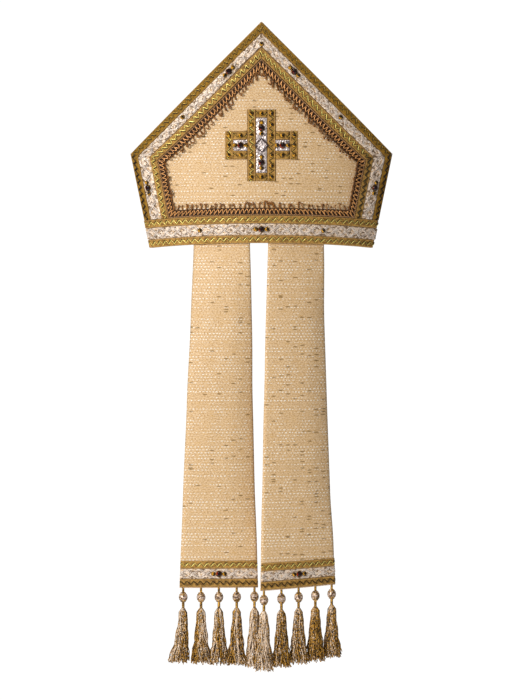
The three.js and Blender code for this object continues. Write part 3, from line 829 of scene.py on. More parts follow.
class LoopFringe(GeometryGraph):
    """Loops of cord set along a guide, each a little turned and scaled."""

    SMALLEST, LARGEST = 0.75, 1.2

    def __init__(self, shapes: Sequence[bpy.types.Object]) -> None:
        """Builds the tree round the given loop shapes."""
        super().__init__("loop_fringe", Int=("Count", "Seed"), Float=("Lean", "Sway"))
        line = self.node("GeometryNodeMeshToCurve", {}, {"Mesh": self.given("Geometry")})
        seats = self.node("GeometryNodeCurveToPoints", {}, {"Curve": line, "Count": self.given("Count")})
        directions = {0: self.named("outward", "FLOAT_VECTOR"), 1: self.named("across", "FLOAT_VECTOR")}
        settings = {"primary_axis": "Z", "secondary_axis": "Y"}
        axes = self.node("FunctionNodeAxesToRotation", settings, directions)
        sway = self.roll(-1.0, 1.0, self.given("Seed") + 1.0) * self.given("Sway") + self.given("Lean")
        sockets = {0: axes, 1: self.combine(0.0, 0.0, sway)}
        turned = self.node("FunctionNodeRotateRotation", {"rotation_space": "LOCAL"}, sockets)
        loops = [
            self.node("GeometryNodeObjectInfo", {}, {"Object": shape, "As Instance": True}, "Geometry")
            for shape in shapes
        ]
        sockets = {4: 0, 5: len(shapes) - 1, "Seed": self.given("Seed")}
        sockets = {
            "Points": seats,
            "Instance": self.node("GeometryNodeJoinGeometry", {}, {0: loops}),
            "Pick Instance": True,
            "Instance Index": self.node("FunctionNodeRandomValue", {"data_type": "INT"}, sockets, 2),
            "Rotation": turned,
            "Scale": self.roll(self.SMALLEST, self.LARGEST, self.given("Seed") + 2.0),
        }
        self.end(self.node("GeometryNodeInstanceOnPoints", {}, sockets))


class StrandSkirt(GeometryGraph):
    """A tassel's skirt of separate strands."""

    GOLDEN_TURN = 2.399963
    TWIST = 0.35
    INNERMOST = 0.4
    CRINKLE, CRINKLE_GROWTH = 0.0004, 0.0009
    UNEVENNESS = 0.09
    SIDES = 4

    def __init__(self) -> None:
        """Builds the tree."""
        super().__init__(
            "strand_skirt",
            Int=("Strands", "Segments", "Seed"),
            Float=("Length", "Top Radius", "Bottom Radius", "Splay", "Thickness", "Paleness", "Lock Turn",
                   "Lock Share"),
            Vector=("Place", "Lean"),
        )
        line = self.node("GeometryNodeCurvePrimitiveLine", {}, {"Start": (0, 0, 0), "End": (0, 0, -1)})
        fine = self.node("GeometryNodeResampleCurve", {}, {"Curve": line, "Count": self.given("Segments")})
        sockets = {0: fine, "Amount": self.given("Strands")}
        many = self.node("GeometryNodeDuplicateElements", {"domain": "SPLINE"}, sockets)
        marked = self.store(many, "number", many.beside("Duplicate Index"))
        down = self.node("GeometryNodeSplineParameter")
        angle = self.named("number") * self.GOLDEN_TURN + self.own(1.0) * 0.5
        flare = self.given("Splay") * (down**5.0) * (self.own(3.0) - 0.25)
        reach = self.radius(down) * (self.math("SQRT", self.own(2.0)) * (1 - self.INNERMOST) + self.INNERMOST)
        reach = reach + flare
        turn = angle + down * self.TWIST
        crinkle = down * self.CRINKLE_GROWTH + self.CRINKLE
        wriggle = self.math("SINE", down * 17.0 + self.own(4.0) * 20.0)
        x = self.math("COSINE", turn) * reach + wriggle * crinkle
        y = self.math("SINE", turn) * reach + self.math("SINE", down * 13.0 + self.own(5.0) * 20.0) * crinkle
        length = self.given("Length") * (1.0 - self.own(6.0) * self.UNEVENNESS)
        z = -(down * length) + self.math("ABSOLUTE", flare) * 0.4
        lean = self.vector("SCALE", self.given("Lean"), down * down)
        spot = self.vector("ADD", self.vector("ADD", self.combine(x, y, z), lean), self.given("Place"))
        placed = self.node("GeometryNodeSetPosition", {}, {"Geometry": marked, "Position": spot})
        toned = self.store(placed, "tone", self.tone(angle, down))
        self.end_in_thread(toned, self.SIDES, self.given("Thickness"))

    def radius(self, down: Socket) -> Socket:
        """The skirt's radius: drawn in at the neck, then widening."""
        shoulder = self.math("MINIMUM", down * 14.0, 1.0) * 0.65 + 0.35
        widening = (self.given("Bottom Radius") - self.given("Top Radius")) * (down**1.25)
        return self.given("Top Radius") * shoulder + widening

    def tone(self, angle: Socket, down: Socket) -> Socket:
        """How pale a strand is: paler to one side, where pale strands gather and a highlight is painted,
        darker towards the bottom, and a little by chance.
        """
        lock = self.math("COSINE", angle - self.given("Lock Turn")) * self.given("Lock Share")
        band = self.math("SINE", angle * 4.0 + self.given("Lock Turn") * 3.0) * 0.12
        return self.given("Paleness") + lock + band + (self.own(7.0) - 0.5) * 0.6 - down * 0.12

    def own(self, salt: float) -> Socket:
        """A random number from 0 to 1 for each strand."""
        return self.roll(0.0, 1.0, self.given("Seed") * 10.0 + salt, ID=self.named("number"))


# ---- The crown's form -----------------------------------------------------------------------------


@dataclass
class CrownForm:
    """The crown's surface: each face is part of a cone-like curve that widens to the shoulders."""

    SIDE_STEPS: ClassVar[int] = 30
    SLANT_STEPS: ClassVar[int] = 80
    rim_half_width: float = 139 * MM
    shoulder_height: float = 117.5 * MM
    rim_arch: float = 6 * MM
    seam: float = 0.2 * MM
    wall: float = 2.4 * MM
    rim_band_top: float = 34.2 * MM
    shoulder_half_width: float = field(init=False)
    peak_height: float = field(init=False)
    bulge: float = field(init=False)

    def __post_init__(self) -> None:
        """Reads the overall sizes from the frame."""
        low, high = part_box("back_panel")
        self.shoulder_half_width = high[0]
        self.peak_height = high[2]
        self.bulge = -low[1]

    def half_width(self, z: Array) -> Array:
        """Half the crown's width at a height."""
        flare = (self.shoulder_half_width - self.rim_half_width) / self.shoulder_height
        return self.rim_half_width + flare * np.asarray(z)

    def radius(self, z: Array) -> Array:
        """The radius of a face's curve at a height."""
        return (self.half_width(z) ** 2 + self.bulge**2) / (2 * self.bulge)

    def arc_to(self, x: Array, z: Array) -> Array:
        """The length along the cloth from the middle to a distance sideways."""
        radius = self.radius(z)
        return radius * np.arcsin(x / radius)

    def half_arc(self, z: Array) -> Array:
        """Half the length of the cloth round one face."""
        return self.arc_to(self.half_width(z), z)

    def slant(self) -> float:
        """How steeply the top edges fall from the peak."""
        return (self.peak_height - self.shoulder_height) / self.shoulder_half_width

    def rim(self, fraction: Array) -> Array:
        """The rim's height at a fraction of the way to the side."""
        return self.rim_arch * (1 - fraction**2)

    def rim_band_edge(self, arc: Array) -> Array:
        """The height of the rim bands' top edge."""
        return self.rim_band_top + self.rim(arc / self.half_arc(self.rim_band_top))

    def point(self, side: float | Array, arc: Array, z: Array, lift: Array) -> Array:
        """Points of a face.

        Args:
            side: BACK or FRONT.
            arc: Distances along the cloth from the middle.
            z: Heights.
            lift: Distances outside the face.

        Returns:
            The points, one a row.
        """
        radius = self.radius(z)
        seam_angle = np.arccos((radius - self.bulge + self.seam) / (radius + lift))
        angle = arc / self.half_arc(z) * seam_angle
        x = (radius + lift) * np.sin(angle)
        y = side * ((radius + lift) * np.cos(angle) - (radius - self.bulge))
        return np.stack([x, y, z + 0 * x], axis=-1)

    def top(self, fraction: Array) -> Array:
        """The height of a face's top edge, whose slants are straight seen from the front."""
        z = np.full(np.shape(fraction), self.peak_height)
        for _ in range(14):
            x = self.point(1, fraction * self.half_arc(z), z, 0 * z)[..., 0]
            z = self.peak_height - self.slant() * np.abs(x)
        return z

    def border_line(self, side_inset: float, slant_inset: float, rim_inset: float) -> Array:
        """A line that runs in from a face's edge, from one foot on the rim band over the peak to the other.

        Args:
            side_inset: Distance in from the side edges.
            slant_inset: Distance in from the slants.
            rim_inset: Distance of its feet above the rim band.

        Returns:
            Rows of distance along the cloth and height, from left to right.
        """
        shoulder = np.array([float(self.half_arc(self.shoulder_height)), self.shoulder_height])
        rim_end = np.array([float(self.half_arc(0.0)), 0.0])
        peak = np.array([0.0, self.peak_height])

        def inward(start: Array, end: Array) -> Array:
            """The direction square to a line, towards the field."""
            along = unit(end - start)
            return np.array([-along[1], along[0]])

        side_in, slant_in = inward(rim_end, shoulder), inward(shoulder, peak)
        insets = np.array([side_inset, slant_inset])
        corner = shoulder + np.linalg.solve(np.array([side_in, slant_in]), insets)

        def side_arc(z: float) -> float:
            """Where the inset side line is at a height."""
            return shoulder[0] + (side_inset - (z - shoulder[1]) * side_in[1]) / side_in[0]

        foot_height = float(self.rim_band_edge(side_arc(self.rim_band_top))) + rim_inset
        foot = np.array([side_arc(foot_height), foot_height])
        top = np.array([0.0, shoulder[1] + (slant_inset + shoulder[0] * slant_in[0]) / slant_in[1]])

        rising = foot + (corner - foot) * np.linspace(0, 1, self.SIDE_STEPS, endpoint=False)[:, None]
        level = np.minimum(rising[:, 1], self.shoulder_height)
        straight = np.interp(level, [0, shoulder[1]], [rim_end[0], shoulder[0]])
        rising[:, 0] += self.half_arc(level) - straight
        share = np.linspace(0, 1, self.SLANT_STEPS + 1)
        falling = corner + (top - corner) * share[:, None]
        z = self.shoulder_height + (self.peak_height - self.shoulder_height) * share
        edge = self.arc_to((self.peak_height - z) / self.slant(), z)
        falling[:, 0] += edge - shoulder[0] * (1 - share)
        falling[-1, 0] = 0.0
        right = np.vstack([rising, falling])
        left = right * np.array([-1.0, 1.0])
        return np.vstack([left, right[::-1][1:]])

    def border_lines(self, inset: "Inset") -> list[Array]:
        """A band's outer and inner line."""
        rows = zip(inset.sides, inset.slants, inset.feet)
        return [self.border_line(side * MM, slant * MM, foot * MM) for side, slant, foot in rows]


@dataclass(frozen=True)
class Inset:
    """How far a band's outer and inner lines lie in from a face's edges, in millimetres."""

    sides: tuple[float, float]
    slants: tuple[float, float]
    feet: tuple[float, float] = (0.3, 0.3)

    def half_width(self) -> float:
        """Half the band's width, in metres."""
        return (self.slants[1] - self.slants[0]) / 2 * MM


@dataclass
class Band:
    """A strip of trim, with its chart, its half width and how finely it is cut."""

    CELL: ClassVar[float] = 3 * MM
    ROWS: ClassVar[int] = 10
    SELVEDGE: ClassVar[float] = 0.25 * MM
    name: str
    chart: Chart
    half_width: float
    looped: bool = False
    samples: int = 600
    dim: Callable[[Array], Array] | None = None
    parts: tuple[tuple[float, float], ...] = ((0.0, 1.0),)

    def line(self, run: Array, across: float, lift: float) -> Array:
        """The points along the strip at one place across it and one lift."""
        return self.chart(run, np.full_like(run, across), np.full_like(run, lift))

    def length(self) -> float:
        """The strip's length along its middle."""
        line = self.line(np.linspace(0, 1, self.samples), 0.0, 0.0)
        return float(np.linalg.norm(np.diff(line, axis=0), axis=1).sum())

    def ribbon(self, finish: Finish, low: float, thick: float) -> bpy.types.Object:
        """The woven strip itself, from its underside's lift and its thickness."""

        def front(_run: Array, across: Array) -> Array:
            """The lift of the outer skin: two low ridges beside the edges."""
            far = np.abs(across)
            ridge = np.exp(-(((far - 0.8) / 0.13) ** 2))
            return low + thick - self.SELVEDGE * (1 - ridge) - 0.55 * thick * smooth((far - 0.9) / 0.1)

        length = self.length()
        columns = max(int(length / self.CELL), 2)
        size = (length, self.half_width)
        plate = Plate(f"{self.name}_ribbon", self.chart, self.ROWS, columns, front, low, size, self.looped)
        return plate.build([finish])

    def dimness(self, points: Array) -> Array:
        """The painted shade on the threads at each point, where the band has any."""
        return self.dim(points) if self.dim else np.zeros(len(points))

    def guides(self, lift: float) -> list["Guide"]:
        """The lines that threads follow at a lift, one for each of the strip's parts."""
        lines = []
        for start, end in self.parts:
            run = np.linspace(start, end, self.samples)
            places = ((0.0, lift), (-1.0, lift), (1.0, lift), (0.0, lift + 1 * MM))
            line, left, right, above = (self.line(run, across, rise) for across, rise in places)
            lines.append(Guide(line, (right - left) / 2, unit(above - line), self.dimness(line)))
        return lines


@dataclass(frozen=True)
class Strand:
    """One thread of several: its phase in turns, its place across and its painted shade, for a dark strand
    laid as a shadow beside bright ones.
    """

    phase: float = 0.0
    bias: float = 0.0
    shade: float = 0.0


@dataclass
class Guide:
    """A line with its directions across and outwards, and the painted shade on its threads, at each point."""

    line: Array
    across: Array
    outward: Array
    dim: Array | float = 0.0

    @staticmethod
    def mesh(guides: Sequence["Guide"], strands: Sequence[Strand]) -> bpy.types.Mesh:
        """Makes a mesh of one line for each guide and strand, with what the node trees read."""
        runs = [(guide, strand) for guide in guides for strand in strands]
        counts = [len(guide.line) for guide, _ in runs]
        starts = np.cumsum([0, *counts])
        mesh = bpy.data.meshes.new("guide")
        edges = [(start + i, start + i + 1) for start, count in zip(starts, counts) for i in range(count - 1)]
        mesh.from_pydata([tuple(p) for guide, _ in runs for p in guide.line], edges, [])
        for label in ("across", "outward"):
            vectors = np.vstack([getattr(guide, label) for guide, _ in runs]).astype(np.float32)
            mesh.attributes.new(label, "FLOAT_VECTOR", "POINT").data.foreach_set("vector", vectors.ravel())
        numbers = {
            "phase": [strand.phase for _, strand in runs],
            "bias": [strand.bias for _, strand in runs],
            "dim": [guide.dim + strand.shade for guide, strand in runs],
        }
        for label, values in numbers.items():
            spread = [np.broadcast_to(value, count) for value, count in zip(values, counts)]
            note(mesh, label, np.concatenate(spread))
        return mesh


@dataclass(frozen=True)
class Wave:
    """How a thread waves along its guide; reach and rise are in units of the guide's directions."""

    pitch: float
    reach: float
    rise: float
    thickness: float
    sharpness: float = 0.0
    rise_rate: float = 1.0
    steps: int = 8
    sides: int = 5
    slide: float = 0.0

    def inputs(self) -> dict[str, float]:
        """The wave's values by the node tree's names for them."""
        values = {name.replace("_", " ").title(): value for name, value in vars(self).items()}
        values.pop("Pitch")
        return values


@dataclass(frozen=True)
class LoopShape:
    """A loop of the gimp: its length in millimetres, where its bend starts and stops, and its curl."""

    CORD_RADIUS: ClassVar[float] = 0.82 * MM
    length: float
    start: float
    stop: float
    curl: float

    def build(self, name: str) -> bpy.types.Object:
        """Makes the loop, growing along +Y from the origin."""
        share, fine = np.linspace(0, 1, 15), np.linspace(0, 1, 141)
        heading = self.curl * smooth((fine - self.start) / (self.stop - self.start))
        steps = (np.sin(heading), np.cos(heading))
        x, y = (np.interp(share, fine, np.cumsum(step) * self.length / len(fine)) for step in steps)
        path = np.stack([x, y - 1.0, 0.3 + 0.9 * share], axis=-1)
        return new_object(name, mesh_of(name, *tube(path * MM, self.CORD_RADIUS, 4)), [LOOP_CORD])


class Slot(Enum):
    """The record's material slots."""

    BROCADE = "brocade"
    LINING = "lining"
    GOLD_BRAID = "gold_braid"
    SILVER_RIBBON = "silver_ribbon"
    GIMP_CORD = "gimp_cord"
    TASSEL_THREAD = "tassel_thread"
    SILVER_THREAD = "silver_thread"
    GARNET = "garnet"
    AMBER = "amber"


class Workshop:
    """Holds the node trees and registers each finished piece with the frame."""

    FINGER, EYE = LoopShape(16.0, 0.44, 0.56, 3.1), LoopShape(16.5, 0.2, 0.95, 5.9)
    OPEN_HOOK, BACK_HOOK = LoopShape(12.0, 0.5, 0.9, 2.6), LoopShape(11.0, 0.45, 0.95, -3.4)

    def __init__(self) -> None:
        """Builds the node trees."""
        self.waves = WaveThread()
        self.skirts = StrandSkirt()
        loops = (self.FINGER, self.EYE, self.OPEN_HOOK, self.BACK_HOOK)
        self.shapes = [loop.build(f"loop_shape_{number}") for number, loop in enumerate(loops)]
        self.fringe = LoopFringe(self.shapes)
        self.count = 0

    def clear(self) -> None:
        """Takes away the shapes that only the node trees used."""
        for shape in self.shapes:
            bpy.data.objects.remove(shape)

    def lay(self, band: Band, label: str, wave: Wave, strands: Sequence[Strand], lift: float,
            finish: Finish) -> bpy.types.Object:
        """Lays threads along a band.

        Args:
            band: The band.
            label: What the threads are called.
            wave: How they wave.
            strands: The strands.
            lift: Their lift.
            finish: Their finish.

        Returns:
            The threads as one object.
        """
        periods = max(round(band.length() / wave.pitch / len(band.parts)), 1)
        guide = Guide.mesh(band.guides(lift), strands)
        return self.wave_thread(f"{band.name}_{label}", guide, wave, periods, finish)

    def wave_thread(self, name: str, guide: bpy.types.Mesh, wave: Wave, periods: float,
                    finish: Finish) -> bpy.types.Object:
        """Runs the wave tree on a guide."""
        values = {"Periods": float(periods), **wave.inputs(), "Material": finish.material()}
        return self.waves.run(name, guide, values)

    def register(self, piece: bpy.types.Object, node: str | None = None) -> bpy.types.Object:
        """Hands a finished piece to the frame.

        Args:
            piece: The piece.
            node: The CAD node it stands for, if any.

        Returns:
            The piece.
        """
        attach(piece, "root")
        if node:
            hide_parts(node)
        self.count += 1
        LOG.info("%s: %d faces", piece.name, len(piece.data.polygons))
        return piece


# ---- Trims ----------------------------------------------------------------------------------------


@dataclass(frozen=True)
class Trims:
    """How each kind of trim is made, wherever it is laid."""

    gap: float = 0.2 * MM
    thickness: float = 0.8 * MM
    gimp_thickness: float = 0.6 * MM
    zigzag: Wave = Wave(8.1 * MM, 0.46, 0.0, 0.5 * MM, sharpness=1.0)
    # The third zigzag strand is dark all along: a painted shadow beside the bright legs.
    zigzag_strands: tuple[Strand, ...] = (Strand(0.0, -0.04), Strand(0.03, -0.02), Strand(0.13, 0.08, 1.0))
    lattice: Wave = Wave(
        31.4 * MM, 0.88, 0.3 * MM, 0.34 * MM, sharpness=1.0, rise_rate=2.0, steps=24, sides=4
    )
    # The darker lattice strands lie between the bright ones as painted shadow lines between the filaments.
    lattice_strands: tuple[Strand, ...] = tuple(
        Strand(half + shift, 0.0, shade)
        for half in (0.0, 0.5)
        for shift, shade in ((-0.055, 0.0), (-0.02, 0.6), (0.02, 0.0), (0.055, 0.2))
    )
    coil: Wave = Wave(5.2 * MM, 0.62, 0.25 * MM, 0.62 * MM, steps=12, slide=0.62 * MM)
    coil_lift: float = 1.3 * MM
    purl: Wave = Wave(2.6 * MM, 0.07, 0.5 * MM, 0.5 * MM, steps=6, sides=4)
    purl_strand: Strand = Strand(0.0, -0.86)
    loop_lift: float = 1.0 * MM
    loop_pitch: float = 6.0 * MM
    loop_lean: float = 0.1
    loop_sway: float = 0.45

    def lay(self, shop: Workshop, band: Band, node: str | None, thread: Finish,
            ground: Finish = BRAID) -> None:
        """A silver band with its crossing threads, or a gold braid with its zigzag, by the band's name."""
        top = self.gap + self.thickness
        if band.name.endswith("silver_band"):
            shop.register(band.ribbon(SILVER_RIBBON, self.gap, self.thickness), node)
            lattice = shop.lay(band, "lattice", self.lattice, self.lattice_strands, top + 0.15 * MM, SILVER)
            shop.register(lattice)
            return
        shop.register(band.ribbon(ground, self.gap, self.thickness), node)
        zigzag = shop.lay(band, "zigzag", self.zigzag, self.zigzag_strands, top + 0.1 * MM, thread)
        shop.register(zigzag)

    def gimp(self, shop: Workshop, band: Band, fringe: Band, seed: int) -> None:
        """A gimp: its dark ground, partly painted shadow between the coil's turns, its coil, its purled edge
        and its loops.
        """
        name = band.name
        shop.register(band.ribbon(GIMP_GROUND_AND_SHADOW, self.gap, self.gimp_thickness), name)
        fine = Band(name, band.chart, band.half_width, band.looped, 1600)
        coil = shop.lay(fine, "coil", self.coil, [Strand()], self.coil_lift, COPPER)
        shop.register(coil)
        purl = shop.lay(fine, "purl", self.purl, [self.purl_strand], self.loop_lift, PURL)
        shop.register(purl)
        values = {
            "Count": round(fringe.length() / self.loop_pitch),
            "Lean": self.loop_lean,
            "Sway": self.loop_sway,
            "Seed": seed,
            "Material": LOOP_CORD.material(),
        }
        guide = Guide.mesh(fringe.guides(self.loop_lift), [Strand()])
        shop.register(shop.fringe.run(f"{name}_loops", guide, values))


@dataclass(frozen=True)
class BraidLook:
    """A border's place, thread and ground, and the painted shade on its threads up each side and on the
    slants.
    """

    inset: Inset
    thread: Finish = BRIGHT_GOLD
    ground: Finish = BRAID
    dull: tuple[float, float, float] | None = None


@dataclass
class Crown:
    """The two cloth faces, the gusset and the bands laid on them."""

    form: CrownForm
    trims: Trims = Trims()
    # The three numbers after a border's ground are painted shade on its zigzag: up the left side, up the
    # right side and on the slants.
    borders: dict[str, BraidLook] = field(
        default_factory=lambda: {
            "outer_braid": BraidLook(
                Inset((0.3, 10.0), (0.3, 10.0)), SOFT_GOLD, OUTER_BRAID, (1.0, 1.0, 0.15)
            ),
            "silver_band": BraidLook(Inset((10.3, 26.2), (10.3, 22.0))),
            "inner_braid": BraidLook(Inset((26.5, 37.6), (22.3, 33.6)), dull=(0.1, 0.9, 0.0)),
        }
    )
    gimp: Inset = Inset((37.9, 47.0), (33.9, 43.0), (0.3, 9.4))
    gimp_seeds: tuple[int, int] = (7, 11)
    loops: Inset = Inset((46.0, 48.0), (42.0, 44.0), (8.4, 10.4))
    rim_bands: dict[str, tuple[float, float]] = field(
        default_factory=lambda: {
            "lower_braid": (0.0, 9.6), "silver_band": (9.9, 23.9), "upper_braid": (24.2, 34.2)
        }
    )
    face_cells: tuple[int, int] = (56, 96)
    cord_wave: Wave = Wave(5 * MM, 1.0, 1.0, 0.6 * MM)
    cord_turns: int = 100

    def build(self, shop: Workshop) -> None:
        """Makes every piece of the crown."""
        for face, side, seed in (("back", BACK, self.gimp_seeds[0]), ("front", FRONT, self.gimp_seeds[1])):
            self.panel(shop, face, side)
            self.edge_cord(shop, face, side)
            self.border_trims(shop, face, side)
            band = self.framing_band(f"{face}_gimp", side, self.gimp)
            fringe = self.framing_band(f"{face}_gimp_fringe", side, self.loops)
            self.trims.gimp(shop, band, fringe, seed)
        self.gusset(shop)
        self.rim_trims(shop)

    def panel(self, shop: Workshop, face: str, side: int) -> None:
        """One stiffened cloth face, lined inside."""
        form = self.form

        def chart(run: Array, across: Array, lift: Array) -> Array:
            """A point by fraction sideways and up."""
            fraction = 2 * run - 1
            low, high = form.rim(fraction), form.top(fraction)
            z = low + (high - low) * (across + 1) / 2
            return form.point(side, fraction * form.half_arc(z), z, lift)

        rows, columns = self.face_cells
        plate = Plate(
            f"{face}_face", chart, rows, columns, lambda run, across: 0 * run, -form.wall, (1.0, 1.0)
        )
        piece = plate.build([BROCADE, LINING])
        points = points_of(piece.data)
        radius = form.radius(points[:, 2])
        arc = radius * np.arctan2(points[:, 0], np.abs(points[:, 1]) + radius - form.bulge)
        apart = 0.5 if side == FRONT else 0.0
        lay_out(piece.data, np.stack([arc + apart, points[:, 2]], axis=-1))
        shop.register(piece, f"{face}_panel")

    def edge_cord(self, shop: Workshop, face: str, side: int) -> None:
        """The fine cord that binds a face's top edge."""
        form = self.form
        fraction = np.linspace(-0.995, 0.995, 400)
        z = form.top(fraction)
        line = form.point(side, fraction * form.half_arc(z), z, np.full_like(z, -form.wall / 2))
        line[:, 2] -= 0.9 * MM
        across = np.tile([0.0, 0.95 * MM, 0.0], (len(line), 1))
        outward = np.tile([0.0, 0.0, 0.6 * MM], (len(line), 1))
        guide = Guide.mesh([Guide(line, across, outward)], [Strand(turn / 3) for turn in range(3)])
        cord = shop.wave_thread(f"{face}_edge_cord", guide, self.cord_wave, self.cord_turns, GOLD_CORD)
        shop.register(cord)

    def band_between(self, name: str, side: int, lines: Sequence[Array], half_width: float,
                     looped: bool = False, samples: int = 600) -> Band:
        """A band between two lines on a face, both given by distance along the cloth and height."""
        near, far = lines
        path = self.form.point(side, *((near + far) / 2).T, 0.0)
        stations = np.concatenate([[0], np.cumsum(np.linalg.norm(np.diff(path, axis=0), axis=1))])
        stations /= stations[-1]

        def chart(run: Array, across: Array, lift: Array) -> Array:
            """A point by fraction along the band and place across it, towards the field."""
            share = (across + 1) / 2
            outer, inner = ([np.interp(run, stations, line[:, k]) for k in (0, 1)] for line in (near, far))
            arc, z = (a * (1 - share) + b * share for a, b in zip(outer, inner))
            return self.form.point(side, arc, z, lift)

        return Band(name, chart, half_width, looped, samples)

    def framing_band(self, name: str, side: int, inset: Inset) -> Band:
        """A band that goes all the way round a face's field, along the rim band too."""
        lines = []
        for upper, foot in zip(self.form.border_lines(inset), inset.feet):
            arc = np.linspace(upper[-1, 0], upper[0, 0], 82)[1:-1]
            lower = np.stack([arc, self.form.rim_band_edge(arc) + foot * MM], axis=-1)
            lines.append(np.vstack([upper, lower, upper[:1]]))
        return self.band_between(name, side, lines, inset.half_width(), True, 900)

    def border_trims(self, shop: Workshop, face: str, side: int) -> None:
        """The two braids and the silver band round a face, with the dark seams at their mitres."""
        seams = []
        for label, look in self.borders.items():
            lines = self.form.border_lines(look.inset)
            band = self.band_between(f"{face}_{label}", side, lines, look.inset.half_width())
            if look.dull:
                band.dim = self.side_shade(*look.dull)
            self.trims.lay(shop, band, band.name, look.thread, look.ground)
            seams += self.mitres(side, *lines)
        name = f"{face}_corner_seams"
        shop.register(new_object(name, mesh_of(name, *joined(seams)), [BRAID_SEAM]))

    def mitres(self, side: int, near: Array, far: Array) -> list[Shape]:
        """A band's fine seams at the shoulders and the peak."""
        last = len(near) - 1
        share = np.linspace(0.04, 0.96, 7)[:, None]
        seams = []
        for place in (self.form.SIDE_STEPS, last // 2, last - self.form.SIDE_STEPS):
            flat = near[place] * (1 - share) + far[place] * share
            seams.append(tube(self.form.point(side, flat[:, 0], flat[:, 1], 1.0 * MM), 0.3 * MM, 5))
        return seams

    def side_shade(self, left: float, right: float, slants: float) -> Callable[[Array], Array]:
        """The painted shade on the zigzag up each side and on the slants."""

        def shade(points: Array) -> Array:
            """The painted shade at each point."""
            on_side = smooth((self.form.shoulder_height - points[:, 2]) / (12 * MM) + 0.5)
            return slants + (np.where(points[:, 0] < 0, left, right) - slants) * on_side

        return shade

    def gusset(self, shop: Workshop) -> None:
        """The soft cloth folded down between the two peaks."""
        form = self.form
        thickness, end_inset, rounding, drop = 1.2 * MM, 9 * MM, 0.12, 1 * MM
        clearance = form.wall + 0.5 * MM + thickness
        reach = form.shoulder_half_width - end_inset

        def sheet(run: Array, across: Array) -> Array:
            """A point of the folded cloth."""
            x = reach * (2 * run - 1)
            edge = form.peak_height - form.slant() * np.abs(x) - drop
            round_the_head = form.radius(edge)
            half_span = np.sqrt((round_the_head - clearance) ** 2 - x**2) - (round_the_head - form.bulge)
            cloth = edge + drop - form.shoulder_height
            valley = edge - np.sqrt(np.maximum(cloth**2 - half_span**2, 0))
            rise = (np.hypot(across, rounding) - rounding) / (math.hypot(1, rounding) - rounding)
            return np.stack([x, half_span * across, valley + (edge - valley) * rise], axis=-1)

        def chart(run: Array, across: Array, lift: Array) -> Array:
            """The cloth and, for a lift below it, its underside."""
            step = 0.004
            along = sheet(np.minimum(run + step, 1), across) - sheet(np.maximum(run - step, 0), across)
            over = sheet(run, np.minimum(across + step, 1)) - sheet(run, np.maximum(across - step, -1))
            return sheet(run, across) + unit(np.cross(along, over)) * np.asarray(lift)[..., None]

        size = (2 * reach, form.peak_height - form.shoulder_height)
        plate = Plate("gusset_cloth", chart, 40, 60, lambda run, across: 0 * run, -thickness, size)
        piece = shop.register(plate.build([LINING]), "crown_gusset")
        half = form.slant() * reach

    def rim_trims(self, shop: Workshop) -> None:
        """The three bands that go right round the head opening."""
        form = self.form
        for label, (low, high) in self.rim_bands.items():

            def chart(run: Array, across: Array, lift: Array, low: float = low, high: float = high) -> Array:
                """A point by fraction of the way round, from the left seam over the back."""
                turn = np.where(run <= 0.5, run * 4 - 1, 3 - run * 4)
                side = np.where(run <= 0.5, BACK, FRONT)
                z = form.rim(turn) + (low + (high - low) * (across + 1) / 2) * MM
                return form.point(side, turn * form.half_arc(z), z, lift)

            halves = ((0.002, 0.498), (0.502, 0.998))
            band = Band(f"rim_{label}", chart, (high - low) / 2 * MM, True, 901, None, halves)
            self.trims.lay(shop, band, band.name, BRIGHT_GOLD)


# ---- Stones ---------------------------------------------------------------------------------------


@dataclass
class Seat:
    """Where a stone sits: its middle at the base, and its directions along, across and outwards."""

    base: Array
    along: Array
    across: Array
    outward: Array

    @staticmethod
    def of_node(node: str) -> "Seat":
        """Finds the seat of a stone's CAD node on the back of the mitre, along its longest direction."""
        points = np.unique(np.round(points_of(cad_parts[node].data), 6), axis=0)
        axes = np.linalg.svd(points - points.mean(axis=0), full_matrices=False)[2]
        order = sorted(range(3), key=lambda k: np.ptp(points @ axes[k]), reverse=True)
        along, outward = axes[order[0]], axes[order[2]]
        outward = outward * -np.sign(outward[1])
        across = np.cross(outward, along)
        middles = [float((points @ axis).min() + (points @ axis).max()) / 2 for axis in (along, across)]
        base = along * middles[0] + across * middles[1] + outward * (points @ outward).min()
        return Seat(base, along, across, outward)

    def place(self, points: Array) -> Array:
        """Moves points from the stone's own coordinates to the seat."""
        return self.base + points @ np.stack([self.along, self.across, self.outward])


